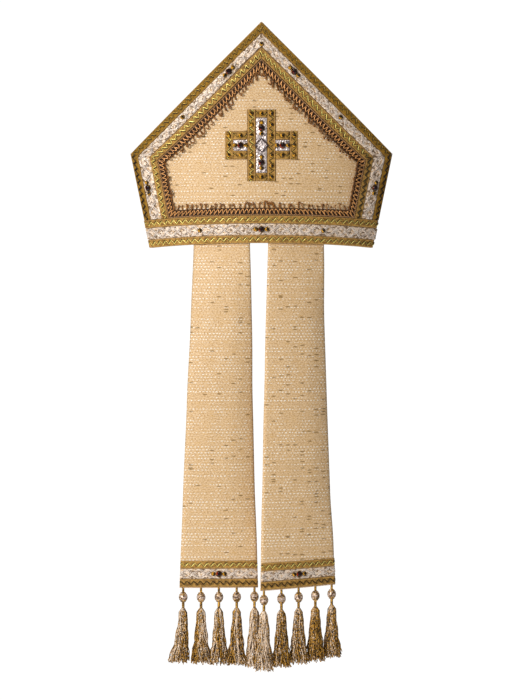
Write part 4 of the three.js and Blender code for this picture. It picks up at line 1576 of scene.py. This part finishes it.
@dataclass
class Jeweller:
    """Cuts stones and sets them."""

    garnet: tuple[float, float] = (3.65 * MM, 3.2 * MM)
    amber: tuple[float, float] = (2.4 * MM, 2.2 * MM)
    pitch: float = 6.9 * MM
    longest_single: float = 10 * MM
    cup_wire: float = 0.42 * MM
    glow_side: float = 3.7
    dice: np.random.Generator = field(default_factory=lambda: np.random.default_rng(23))

    def cut(self, radius: float, height: float, centre: float) -> tuple[Array, list[tuple[int, ...]]]:
        """A round stone with a table, kites, girdle facets and a flat foot."""
        rings = [(0.86, 0.0, 16, 0.0), (1.0, 0.34, 16, 0.0), (0.84, 0.72, 8, 0.5), (0.5, 1.0, 8, 0.0)]
        points: list[tuple[float, float, float]] = []
        starts: list[int] = []
        for reach, rise, count, shift in rings:
            starts.append(len(points))
            for k in range(count):
                angle = 2 * math.pi * (k + shift) / count
                far = reach * radius
                points.append((centre + far * math.cos(angle), far * math.sin(angle), rise * height))
        foot, girdle, kite, table = starts
        faces: list[tuple[int, ...]] = [tuple(reversed(range(foot, foot + 16)))]
        for k in range(16):
            after = (k + 1) % 16
            faces.append((foot + k, foot + after, girdle + after, girdle + k))
        for k in range(8):
            after = (k + 1) % 8
            here, mid, there = girdle + 2 * k, girdle + 2 * k + 1, girdle + (2 * k + 2) % 16
            faces += [(here, mid, kite + k), (mid, there, kite + k), (there, kite + after, kite + k)]
            faces.append((kite + k, kite + after, table + after))
            faces.append((kite + k, table + after, table + k))
        faces.append(tuple(range(table, table + 8)))
        return np.array(points), faces

    def stone(self, name: str, seats: Sequence[Seat], kind: tuple[float, float], offsets: Sequence[float],
              finish: Finish) -> bpy.types.Object:
        """Cuts one stone for each seat and offset along it, as one mesh with a painted inner glint on the
        facets towards one side.
        """
        parts: list[Shape] = []
        glow: list[float] = []
        for seat in seats:
            for offset in offsets:
                cut, sides = self.cut(kind[0] * 0.97, kind[1], offset)
                placed = seat.place(cut)
                parts.append((placed, sides))
                # Painted glint: facets that face one side take more of the stone's glow colour.
                heading = self.glow_side + self.dice.uniform(-0.9, 0.9)
                toward = np.array([math.cos(heading), 0.0, math.sin(heading)])
                for side in sides:
                    lean = unit(placed[list(side)].mean(axis=0) - placed.mean(axis=0)) @ toward
                    glow.append(0.5 + 0.42 * lean + self.dice.uniform(-0.18, 0.18))
        mesh = mesh_of(name, *joined(parts), False)
        note(mesh, "facet", glow, "FACE")
        return new_object(name, mesh, [finish])

    def setting(self, name: str, seats: Sequence[Seat], rings: Sequence[tuple[float, float]],
                bar: float) -> bpy.types.Object:
        """The wire cups round the stones and the wire that joins them.

        Args:
            name: The object's name.
            seats: Where the stones sit.
            rings: Offset along the seat and radius of each cup.
            bar: Half the length of the joining wire, or 0.

        Returns:
            The settings as one mesh.
        """
        angle = np.arange(18) * 2 * math.pi / 18
        rise = 0.5 * MM + 0 * angle
        wires = [
            tube(np.stack([offset + radius * np.cos(angle), radius * np.sin(angle), rise], axis=-1),
                 self.cup_wire, 5, True)
            for offset, radius in rings
        ]
        if bar:
            path = np.array([[-bar, 0, 0.4 * MM], [0, 0.02 * MM, 0.4 * MM], [bar, 0, 0.4 * MM]])
            wires.append(tube(path, 0.4 * MM, 6))
        parts = [(seat.place(points), faces) for seat in seats for points, faces in wires]
        return new_object(name, mesh_of(name, *joined(parts)), [SETTING])

    def single(self, shop: Workshop, node: str, seat: Seat) -> None:
        """One amber in its cup."""
        amber = self.stone(f"{node}_amber", [seat], self.amber, [0.0], AMBER_FINISH)
        shop.register(amber, node)
        cup = self.setting(f"{node}_setting", [seat], [(0.0, self.amber[0])], 0.0)
        shop.register(cup)

    def cluster(self, shop: Workshop, node: str, seat: Seat) -> None:
        """A garnet between two ambers on one wire."""
        ends = (-self.pitch, self.pitch)
        garnet = self.stone(f"{node}_garnet", [seat], self.garnet, [0.0], GARNET_FINISH)
        shop.register(garnet, node)
        shop.register(self.stone(f"{node}_ambers", [seat], self.amber, ends, AMBER_FINISH))
        rings = [(0.0, self.garnet[0]), *((end, self.amber[0]) for end in ends)]
        shop.register(self.setting(f"{node}_setting", [seat], rings, self.pitch))

    def build(self, shop: Workshop) -> None:
        """Sets every stone that is a node of its own."""
        for node in sorted(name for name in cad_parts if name.startswith("stone_")):
            low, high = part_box(node)
            longest = max(high[k] - low[k] for k in range(3))
            make = self.cluster if longest > self.longest_single else self.single
            make(shop, node, Seat.of_node(node))


# ---- Cross ----------------------------------------------------------------------------------------


@dataclass
class Cross:
    """The braided cross on the back face, with its silver insets, diamond and small ambers."""

    form: CrownForm
    trims: Trims = Trims()
    upright_half_length: float = 44.0
    upright_half_width: float = 17.8
    arm_half_length: float = 44.9
    arm_half_width: float = 17.3
    inset_half_width: float = 6.7
    inset_half_length: float = 33.9
    arm_inset: tuple[float, float] = (17.2, 34.6)
    edging_half_width: float = 5.3
    edging_level: float = 12.0
    end_half_width: float = 5.05
    foil_gap: float = 0.3
    diamond_reach: float = 8.2 * MM
    diamond_legs: tuple[float, ...] = (-0.35, -0.8, -1.0, -0.45)
    amber_seats: tuple[tuple[float, float], ...] = (
        (0, 39), (12.2, 39), (12.2, 25.5), (12.2, 12.3), (25.4, 12), (40, 12), (40, 0)
    )

    def height(self) -> float:
        """The height of the cross's middle."""
        low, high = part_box("cross_braid")
        return (low[2] + high[2]) / 2

    def strip(self, name: str, start: tuple[float, float], end: tuple[float, float],
              half_width: float) -> Band:
        """A straight strip between two places on the cross, in millimetres from its middle."""
        form, centre = self.form, self.height()
        first, last = np.array(start) * MM, np.array(end) * MM
        along = last - first
        sideways = np.array([-along[1], along[0]]) / np.linalg.norm(along) * half_width * MM

        def chart(run: Array, across: Array, lift: Array) -> Array:
            """A point by fraction along the strip and place across it."""
            arc = first[0] + along[0] * run + sideways[0] * across
            z = centre + first[1] + along[1] * run + sideways[1] * across
            return form.point(BACK, arc, z, lift)

        return Band(name, chart, half_width * MM, False, 200)

    def strips(self) -> list[Band]:
        """The braid strips that make the cross."""
        inner, outer = self.inset_half_width, self.upright_half_width
        middle, half = (inner + outer) / 2, (outer - inner) / 2 - 0.1
        bands = []
        for sign, side in ((-1, "left"), (1, "right")):
            x, z = sign * middle, self.upright_half_length
            bands.append(self.strip(f"cross_post_{side}", (x, -z), (x, z), half))
            near, far = self.arm_inset[1], self.arm_half_length
            x, z = sign * (near + far) / 2, self.arm_half_width
            bands.append(self.strip(f"cross_arm_end_{side}", (x, -z), (x, z), (far - near) / 2))
            start, stop = sorted((sign * (outer + 0.1), sign * (near - 0.1)))
            for z, place in ((self.edging_level, "upper"), (-self.edging_level, "lower")):
                name = f"cross_arm_{side}_{place}"
                bands.append(self.strip(name, (start, z), (stop, z), self.edging_half_width))
        reach, level = inner - 0.1, self.upright_half_length - self.end_half_width
        for z, place in ((level, "top"), (-level, "bottom")):
            bands.append(self.strip(f"cross_{place}", (-reach, z), (reach, z), self.end_half_width))
        return bands

    @staticmethod
    def faceted(plate: Plate) -> bpy.types.Object:
        """Builds a plate of foil whose crumples keep their sharp edges."""
        piece = plate.build([FOIL])
        piece.data.polygons.foreach_set("use_smooth", [False] * len(piece.data.polygons))
        return piece

    def foil(self, shop: Workshop, node: str, low: float, high: float, half_height: float) -> None:
        """A beaten silver inset, crumpled from facet to facet."""
        dice = np.random.default_rng(len(node))
        form, centre = self.form, self.height()

        def chart(run: Array, across: Array, lift: Array) -> Array:
            """A point of the inset."""
            arc = (low + (high - low) * run) * MM
            return form.point(BACK, arc, centre + half_height * MM * across, lift)

        rows, columns = max(int(2 * half_height / 1.5), 4), max(int((high - low) / 1.5), 4)

        def front(run: Array, across: Array) -> Array:
            """A crumpled outer skin."""
            bumps = dice.random(run.shape) * 0.8 * MM
            rim = (np.abs(across) > 0.999) | (run < 0.001) | (run > 0.999)
            return 0.75 * MM + np.where(rim, 0.0, bumps)

        size = ((high - low) * MM, half_height * MM)
        foil = Plate(f"{node}_foil", chart, rows, columns, front, 0.2 * MM, size)
        shop.register(self.faceted(foil), node)

    def diamond(self, shop: Workshop) -> None:
        """The square set on its corner in the middle: a silver frame round a beaten centre."""
        seat = Seat.of_node("cross_diamond")
        up = np.array([0.0, 0.0, 1.0])
        across = unit(np.cross(seat.outward, up)) * -1
        seat = Seat(seat.base, across, np.cross(seat.outward, across), seat.outward)
        reach = self.diamond_reach
        corners = np.array([[0, -1, 0], [1, 0, 0], [0, 1, 0], [-1, 0, 0]]) * reach
        share = np.linspace(0, 1, 5)[:-1, None]
        legs = [start + (end - start) * share for start, end in zip(corners, np.roll(corners, -1, axis=0))]
        path = np.vstack(legs) + np.array([0, 0, 0.9 * MM])
        points, faces = tube(path, 0.95 * MM, 6, True)
        mesh = mesh_of("diamond", seat.place(points), faces, False)
        # Painted light: each side of the frame gets its own share of the thread's painted highlight and
        # shade.
        note(mesh, "leg", np.repeat(self.diamond_legs, len(points) // 4))
        frame_piece = new_object("cross_diamond_frame", mesh, [DIAMOND_FRAME])
        shop.register(frame_piece, "cross_diamond")
        dice = np.random.default_rng(5)

        def chart(run: Array, over: Array, lift: Array) -> Array:
            """A point of the diamond's centre, turned onto its corner."""
            a, b = (run * 2 - 1) * reach / 2, over * reach / 2
            return seat.place(np.stack([a - b, a + b, lift + 0 * a], axis=-1))

        def front(run: Array, over: Array) -> Array:
            """A crumpled outer skin."""
            return 0.6 * MM + dice.random(run.shape) * 0.9 * MM

        centre = Plate("cross_diamond_centre", chart, 9, 9, front, 0.05 * MM, (reach, reach / 2))
        shop.register(self.faceted(centre))

    def ambers(self, shop: Workshop, jeweller: Jeweller) -> None:
        """The small ambers sewn on the braid."""
        form, centre = self.form, self.height()
        signs = [(right, up) for right in (-1, 1) for up in (-1, 1)]
        places = sorted({(right * a, up * h) for a, h in self.amber_seats for right, up in signs})
        seats = []
        for arc, height in places:
            spot = [np.array([arc + da, height + dz]) * MM for da, dz in ((0, 0), (0.5, 0), (0, 0.5))]
            base, right, above = (form.point(BACK, s[0], centre + s[1], 1.0 * MM) for s in spot)
            along = unit(right - base)
            outward = unit(np.cross(along, above - base))
            outward = outward * -np.sign(outward[1])
            seats.append(Seat(base, along, np.cross(outward, along), outward))
        shop.register(jeweller.stone("cross_ambers", seats, jeweller.amber, [0.0], AMBER_FINISH))
        cups = jeweller.setting("cross_amber_cups", seats, [(0.0, jeweller.amber[0])], 0.0)
        shop.register(cups)

    def build(self, shop: Workshop, jeweller: Jeweller) -> None:
        """Makes the whole cross."""
        for index, band in enumerate(self.strips()):
            # Painted light: the left strips, towards the lamp, take the brighter gold thread and the rest the
            # softer one, as lit and shaded copies of one thread.
            thread = BRIGHT_GOLD if "post_left" in band.name or "arm_end_left" in band.name else SOFT_GOLD
            self.trims.lay(shop, band, "cross_braid" if index == 0 else None, thread)
        gap = self.foil_gap
        width = self.inset_half_width - gap
        near, far = self.arm_inset[0] + gap, self.arm_inset[1] - gap
        self.foil(shop, "cross_silver_upright", -width, width, self.inset_half_length - gap)
        self.foil(shop, "cross_silver_left", -far, -near, width)
        self.foil(shop, "cross_silver_right", near, far, width)
        self.diamond(shop)
        self.ambers(shop, jeweller)


# ---- Lappets and tassels --------------------------------------------------------------------------


@dataclass(frozen=True)
class LappetRow:
    """A level of a lappet: height, shift and half width in millimetres, turn and curl in degrees."""

    z: float
    shift: float
    half_width: float
    turn: float
    curl: float


@dataclass(frozen=True)
class PaleLockAndHighlight:
    """A tassel's pale strands gathered to one side, also a painted highlight on the side towards the lamp:
    its paleness, where it lies in degrees, and its share.
    """

    paleness: float
    turn: float
    share: float


@dataclass
class Lappet:
    """One of the two strips that hang from the back of the rim."""

    name: str
    form: CrownForm
    arc: float
    half_width: float
    hem_tilt: float
    rows: tuple[LappetRow, ...]
    locks: tuple[PaleLockAndHighlight, ...]
    tuck: float = 22 * MM
    length: float = 421 * MM
    thickness: float = 2 * MM
    tilt_reach: float = 150 * MM
    edge_roll: float = 4 * MM
    trims: Trims = Trims()
    bands: dict[str, tuple[float, float]] = field(
        default_factory=lambda: {
            "lower_braid": (0.3, 10.4), "silver_band": (10.7, 23.0), "upper_braid": (23.3, 33.0)
        }
    )

    def point(self, across: Array, height: Array, lift: Array) -> Array:
        """Points of the lappet.

        Args:
            across: -1 to 1 from the left edge to the right one.
            height: Distance above the hem.
            lift: Distance in front of the decorated side.

        Returns:
            The points, one a row.
        """
        given = (np.asarray(value, dtype=float) for value in (across, height, lift))
        across, height, lift = np.broadcast_arrays(*given)
        form = self.form
        face_lift = -(form.wall + 0.4 * MM)
        level = height - self.length
        reach = smooth((height - 50 * MM) / (70 * MM)) * smooth(-level / (90 * MM))
        lift = lift - self.edge_roll * reach * np.maximum((across - 0.25) / 0.75, 0) ** 2
        radius = float(form.radius(0.0))
        turn, curl = self.arc / radius, self.half_width / (radius + face_lift)
        top = LappetRow(0.0, 0.0, self.half_width / MM, math.degrees(turn), math.degrees(curl))
        rows = [top, *self.rows][::-1]
        heights = np.array([row.z for row in rows]) * MM
        held = np.minimum(level, 0)
        low = np.clip(np.searchsorted(heights, held, side="right") - 1, 0, len(rows) - 2)
        linear = np.clip((held - heights[low]) / (heights[low + 1] - heights[low]), 0, 1)
        eased = smooth(linear)

        def blended(key: str, share: Array) -> Array:
            """A row value between the two nearest rows."""
            values = np.array([getattr(row, key) for row in rows])
            return values[low] + (values[low + 1] - values[low]) * share

        half = blended("half_width", linear) * MM
        turn, curl = np.radians(blended("turn", eased)), np.radians(blended("curl", eased))
        bend = half / curl
        angle = turn + across * curl
        root = form.point(BACK, np.array(self.arc), np.array(0.0), np.array(face_lift))
        tilt = self.hem_tilt * across * half * np.maximum(1 - height / self.tilt_reach, 0)
        x = root[0] + blended("shift", eased) * MM + (bend + lift) * np.sin(angle) - bend * np.sin(turn)
        y = root[1] - (bend + lift) * np.cos(angle) + bend * np.cos(turn)
        return np.stack([x, y, level + tilt], axis=-1)

    def cloth(self, shop: Workshop) -> bpy.types.Object:
        """The lappet's own cloth, doubled over with rounded edges."""
        whole = self.length + self.tuck

        def chart(run: Array, across: Array, lift: Array) -> Array:
            """A point by fraction down the cloth and place across it."""
            return self.point(across, whole * (1 - run), lift)

        def front(run: Array, across: Array) -> Array:
            """The face, rounded off at the folded edges and a little uneven."""
            edge = smooth((np.abs(across) - 0.965) / 0.035) * 0.9 * MM
            fine, broad = run * 31 + across * 3.0, run * 12 - across * 5.0 + self.arc * 90
            return np.sin(fine) * np.sin(broad) * 0.25 * MM * (1 - np.abs(across)) - edge

        plate = Plate(f"lappet_{self.name}_cloth", chart, 36, 200, front, -self.thickness, (1.0, 1.0))
        piece = plate.build([BROCADE, LINING])
        points = points_of(piece.data)
        root = self.form.point(BACK, np.array(self.arc), np.array(0.0), np.array(0.0))
        sideways = (points[:, 0] - root[0]) * 1.02 + self.arc * 7
        lay_out(piece.data, np.stack([sideways, points[:, 2]], axis=-1))
        return shop.register(piece, f"lappet_{self.name}")

    def band(self, label: str, low: float, high: float) -> Band:
        """A band across the lappet above its hem."""

        def chart(run: Array, across: Array, lift: Array) -> Array:
            """A point by fraction across the lappet."""
            height = (low + (high - low) * (across + 1) / 2) * MM
            return self.point((2 * run - 1) * 0.995, height, lift)

        return Band(f"lappet_{self.name}_{label}", chart, (high - low) / 2 * MM, False, 200)

    def trims_and_piping(self, shop: Workshop) -> list[bpy.types.Object]:
        """The three bands over the hem and the fine piping under it."""
        for label, (low, high) in self.bands.items():
            band = self.band(label, low, high)
            thread = BRIGHT_GOLD if label == "upper_braid" else DARK_GOLD
            self.trims.lay(shop, band, band.name, thread)
        across = np.linspace(-1, 1, 60)
        line = self.point(across, 0 * across, np.full_like(across, -self.thickness / 2))
        line[:, 2] -= 0.25 * MM
        name = f"lappet_{self.name}_piping"
        piping = new_object(name, mesh_of(name, *tube(line, 0.8 * MM, 8)), [PIPING])
        return [shop.register(piping)]

    def flat_area(self) -> float:
        """The area that the cloth was cut to, from its widths down its length."""
        rows = [LappetRow(0, 0, self.half_width / MM, 0, 0), *self.rows]
        hung = sum((a.z - b.z) * (a.half_width + b.half_width) for a, b in zip(rows, rows[1:]))
        return hung * MM * MM + 2 * self.half_width * self.tuck

    def build(self, shop: Workshop) -> None:
        """Makes the lappet and its tassels."""
        cloth = self.cloth(shop)
        going = self.trims_and_piping(shop)
        widest = 2 * max(row.half_width for row in self.rows) * MM
        flat = (widest, self.length + self.tuck)
        for number, lock in enumerate(self.locks, 1):
            Tassel(f"tassel_{self.name}_{number}", number, self.name == "left", lock).build(shop)
        area = self.flat_area()


@dataclass(frozen=True)
class Winding:
    """Two strands wound round a tassel's axis: from what depth to what depth, and how."""

    label: str
    start: float
    end: float
    radius: Callable[[Array], Array]
    turns: int
    thick: float
    finish: Finish
    steps: int = 8


@dataclass
class Tassel:
    """A hanging cord, a wound bead, a neck and a skirt of strands."""

    node: str
    number: int
    on_left: bool
    lock: PaleLockAndHighlight
    bead: tuple[float, float, float] = (6 * MM, 18 * MM, 4.2 * MM)
    neck: float = 26 * MM
    cord_radius: float = 0.8 * MM
    strands: int = 120
    spread: tuple[float, float] = (4.5 * MM, 11.2 * MM)
    first_lean: float = -6 * MM

    def top(self) -> tuple[Array, float]:
        """The middle of the tassel's top and the tassel's length, from its CAD node."""
        low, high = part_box(self.node)
        return np.array([(low[0] + high[0]) / 2, (low[1] + high[1]) / 2, high[2]]), high[2] - low[2]

    def wound(self, shop: Workshop, winding: Winding) -> bpy.types.Object:
        """Makes one winding."""
        top, _ = self.top()
        share = np.linspace(0, 1, 60)
        depth = winding.start + (winding.end - winding.start) * share
        line = top + np.stack([0 * share, 0 * share, -depth], axis=-1)
        size = winding.radius(share)[:, None]
        across, outward = size * np.array([1.0, 0, 0]), size * np.array([0, 1.0, 0])
        guide = Guide.mesh([Guide(line, across, outward)], [Strand(0.0), Strand(0.5)])
        wave = Wave(1.0, 1.0, 1.0, winding.thick, steps=winding.steps)
        return shop.wave_thread(f"{self.node}_{winding.label}", guide, wave, winding.turns, winding.finish)

    def ovoid(self, share: Array) -> Array:
        """The bead's radius from its top to its foot."""
        swell = np.sqrt(np.maximum(np.sin(np.pi * np.clip(share, 0.0, 1.0)), 0))
        return 0.9 * MM + self.bead[2] * swell * 0.92

    def windings(self) -> list[Winding]:
        """The cord, the bead's two threads and the neck."""
        top, end, _ = self.bead
        plain, thick, inset = 0.85 * MM, 0.95 * MM, 0.7 * MM
        radius = self.cord_radius
        neck = (end - 1 * MM, self.neck + 3 * MM)
        return [
            Winding("cord", 0.0, top + 1 * MM, lambda s: radius + 0 * s, 3, plain, GOLD_CORD),
            Winding("bead_gold", top, end, self.ovoid, 3, plain, GOLD_CORD, 14),
            Winding("bead_silver", top + inset, end - inset, self.ovoid, 4, thick, ROSE_SILVER, 14),
            Winding("neck", *neck, lambda s: radius + 0.2 * MM + 0 * s, 4, thick, GOLD_CORD),
        ]

    def build(self, shop: Workshop) -> None:
        """Makes the tassel."""
        top, length = self.top()
        for winding in self.windings():
            node = self.node if winding.label == "cord" else None
            shop.register(self.wound(shop, winding), node)
        self.core(shop, top)
        self.skirt(shop, top, length)

    def core(self, shop: Workshop, top: Array) -> None:
        """The bead's solid core, so that nothing shows between its windings."""
        rows, sides = 12, 14
        share = np.linspace(0, 1, rows + 1)
        bead_top, bead_end, bead_radius = self.bead
        depth = bead_top + 0.5 * MM + (bead_end - bead_top - 1 * MM) * share
        radius = 0.2 * MM + (bead_radius - 0.1 * MM) * np.sqrt(np.maximum(np.sin(np.pi * share), 0))
        angle = np.arange(sides) * 2 * math.pi / sides
        rings = [
            top + np.stack([r * np.cos(angle), r * np.sin(angle), -d + 0 * angle], axis=-1)
            for r, d in zip(radius, depth)
        ]
        pairs = [(k, (k + 1) % sides) for k in range(sides)]
        starts = [i * sides for i in range(rows)]
        faces = [(i + b, i + a, i + sides + a, i + sides + b) for i in starts for a, b in pairs]
        faces += [tuple(range(sides)), tuple(reversed(range(rows * sides, (rows + 1) * sides)))]
        mesh = mesh_of(f"{self.node}_core", np.vstack(rings), faces)
        shop.register(new_object(f"{self.node}_core", mesh, [ROSE_SILVER]))

    def skirt(self, shop: Workshop, top: Array, length: float) -> None:
        """The skirt of strands, a little different on each tassel."""
        lean = self.first_lean if self.on_left and self.number == 1 else 0.0
        values = {
            "Strands": self.strands,
            "Segments": 15,
            "Place": (top[0], top[1], top[2] - self.neck),
            "Length": length - self.neck,
            "Top Radius": self.spread[0],
            "Bottom Radius": self.spread[1],
            "Splay": 5 * MM,
            "Lean": (lean, 0.0, 0.0),
            "Thickness": 0.62 * MM,
            "Paleness": self.lock.paleness,
            "Lock Turn": math.radians(self.lock.turn),
            "Lock Share": self.lock.share,
            "Seed": self.number + (0 if self.on_left else 5),
            "Material": THREADS.material(),
        }
        seedling = mesh_of("seedling", np.zeros((1, 3)), [])
        shop.register(shop.skirts.run(f"{self.node}_skirt", seedling, values))


# ---- Studio ---------------------------------------------------------------------------------------


@dataclass
class Lamp:
    """A soft lamp: where it stands, its size, its power and its colour."""

    name: str
    place: tuple[float, float, float]
    size: float
    power: float
    colour: tuple[float, float, float] = (1.0, 0.985, 0.96)

    def build(self, aim: tuple[float, float, float]) -> None:
        """Stands the lamp and turns it to what it lights."""
        data = bpy.data.lights.new(self.name, "AREA")
        data.size = self.size
        data.energy = self.power
        data.color = self.colour
        lamp = bpy.data.objects.new(self.name, data)
        lamp.location = self.place
        lamp.rotation_euler = (Vector(aim) - Vector(self.place)).to_track_quat("-Z", "Y").to_euler()
        bpy.context.scene.collection.objects.link(lamp)


@dataclass
class Studio:
    """Camera, lamps, floor and surroundings."""

    distance: float = 4.0
    view_height: float = 0.875
    aim_height: float = -0.1277
    sensor: float = 36.0
    floor_depth: float = -0.92
    floor_reach: float = 1.9
    ambient: float = 0.2
    lamps: tuple[Lamp, ...] = (
        Lamp("key", (-2.5, -3.35, 1.1), 1.1, 146.0),
        Lamp("overhead", (-0.6, -1.6, 3.2), 1.6, 30.0, (1.0, 0.99, 0.98)),
        Lamp("back_light", (0.5, 3.0, 1.8), 1.6, 45.0),
    )

    def build(self) -> None:
        """Sets the studio up."""
        self.camera()
        for lamp in self.lamps:
            lamp.build((0.0, 0.0, self.aim_height))
        self.floor()
        self.surroundings()

    def camera(self) -> None:
        """A long lens at the rim's height, looking slightly down."""
        data = bpy.data.cameras.new("camera")
        data.sensor_width = self.sensor
        data.lens = self.sensor * self.distance / self.view_height
        data.clip_end = 200.0
        camera = bpy.data.objects.new("camera", data)
        camera.location = (0.0, -self.distance, 0.0)
        aim = Vector((0.0, 0.0, self.aim_height)) - camera.location
        camera.rotation_euler = aim.to_track_quat("-Z", "Y").to_euler()
        bpy.context.scene.collection.objects.link(camera)
        bpy.context.scene.camera = camera

    def floor(self) -> None:
        """A plain pale round floor well below the tassels."""
        turn = np.arange(96) * 2 * math.pi / 96
        edge = np.stack([np.cos(turn), np.sin(turn), 0 * turn], axis=-1) * self.floor_reach
        edge[:, 2] = self.floor_depth
        floor = new_object("floor", mesh_of("floor", edge, [tuple(range(96))], False), [PAPER])

    def surroundings(self) -> None:
        """A plain white room: bright to look at, softer as a light."""
        world = bpy.data.worlds.new("studio")
        world.use_nodes = True
        graph = Graph(world.node_tree)
        graph.tree.nodes.clear()
        seen = graph.node("ShaderNodeLightPath", output="Is Camera Ray")
        strength = seen * (1.05 - self.ambient) + self.ambient
        glow = graph.node("ShaderNodeBackground", {}, {"Color": (1.0, 1.0, 1.0, 1.0), "Strength": strength})
        graph.node("ShaderNodeOutputWorld", {}, {"Surface": glow})
        bpy.context.scene.world = world
        bpy.context.scene.view_settings.view_transform = "Standard"


def lappets(form: CrownForm) -> list[Lappet]:
    """The two lappets, each with its own hang."""
    left = (
        LappetRow(-90, 0, 38.8, -6, 11),
        LappetRow(-190, -1, 41.9, 1, 13),
        LappetRow(-310, -2, 45.6, 3, 9),
        LappetRow(-421, -2.7, 49, 3, 5),
    )
    right = (
        LappetRow(-90, 0, 38.6, 13, 11),
        LappetRow(-190, 1, 42, 15, 12),
        LappetRow(-310, 2, 46, 18, 9),
        LappetRow(-421, 2.8, 50, 21, 6),
    )
    # Each row: paleness, where the pale strands and painted highlight lie in degrees, and their share.
    left_pale_locks_and_highlights = ((0.34, 200, 0.2), (0.34, -50, 0.25), (0.28, 230, 0.15), (0.28, -90, 0.2), (0.4, 215, 0.35))
    right_pale_locks_and_highlights = ((0.42, -100, 0.4), (0.2, 210, 0.15), (0.26, 225, 0.2), (0.16, 180, 0.1), (0.2, -90, 0.15))
    return [
        Lappet("left", form, -52.6 * MM, 36.4 * MM, 0.0, left, tuple(PaleLockAndHighlight(*lock) for lock in left_pale_locks_and_highlights)),
        Lappet("right", form, 45.6 * MM, 35.8 * MM, 0.045, right, tuple(PaleLockAndHighlight(*lock) for lock in right_pale_locks_and_highlights)),
    ]


def main() -> None:
    """Builds the mitre and its studio."""
    logging.basicConfig(level=logging.INFO, format="%(name)s: %(message)s")
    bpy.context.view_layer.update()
    form = CrownForm()
    shop = Workshop()
    jeweller = Jeweller()
    Studio().build()
    Crown(form).build(shop)
    Cross(form).build(shop, jeweller)
    jeweller.build(shop)
    for lappet in lappets(form):
        lappet.build(shop)
    shop.clear()
    LOG.info("%d pieces", shop.count)


if __name__ == "__main__":
    main()
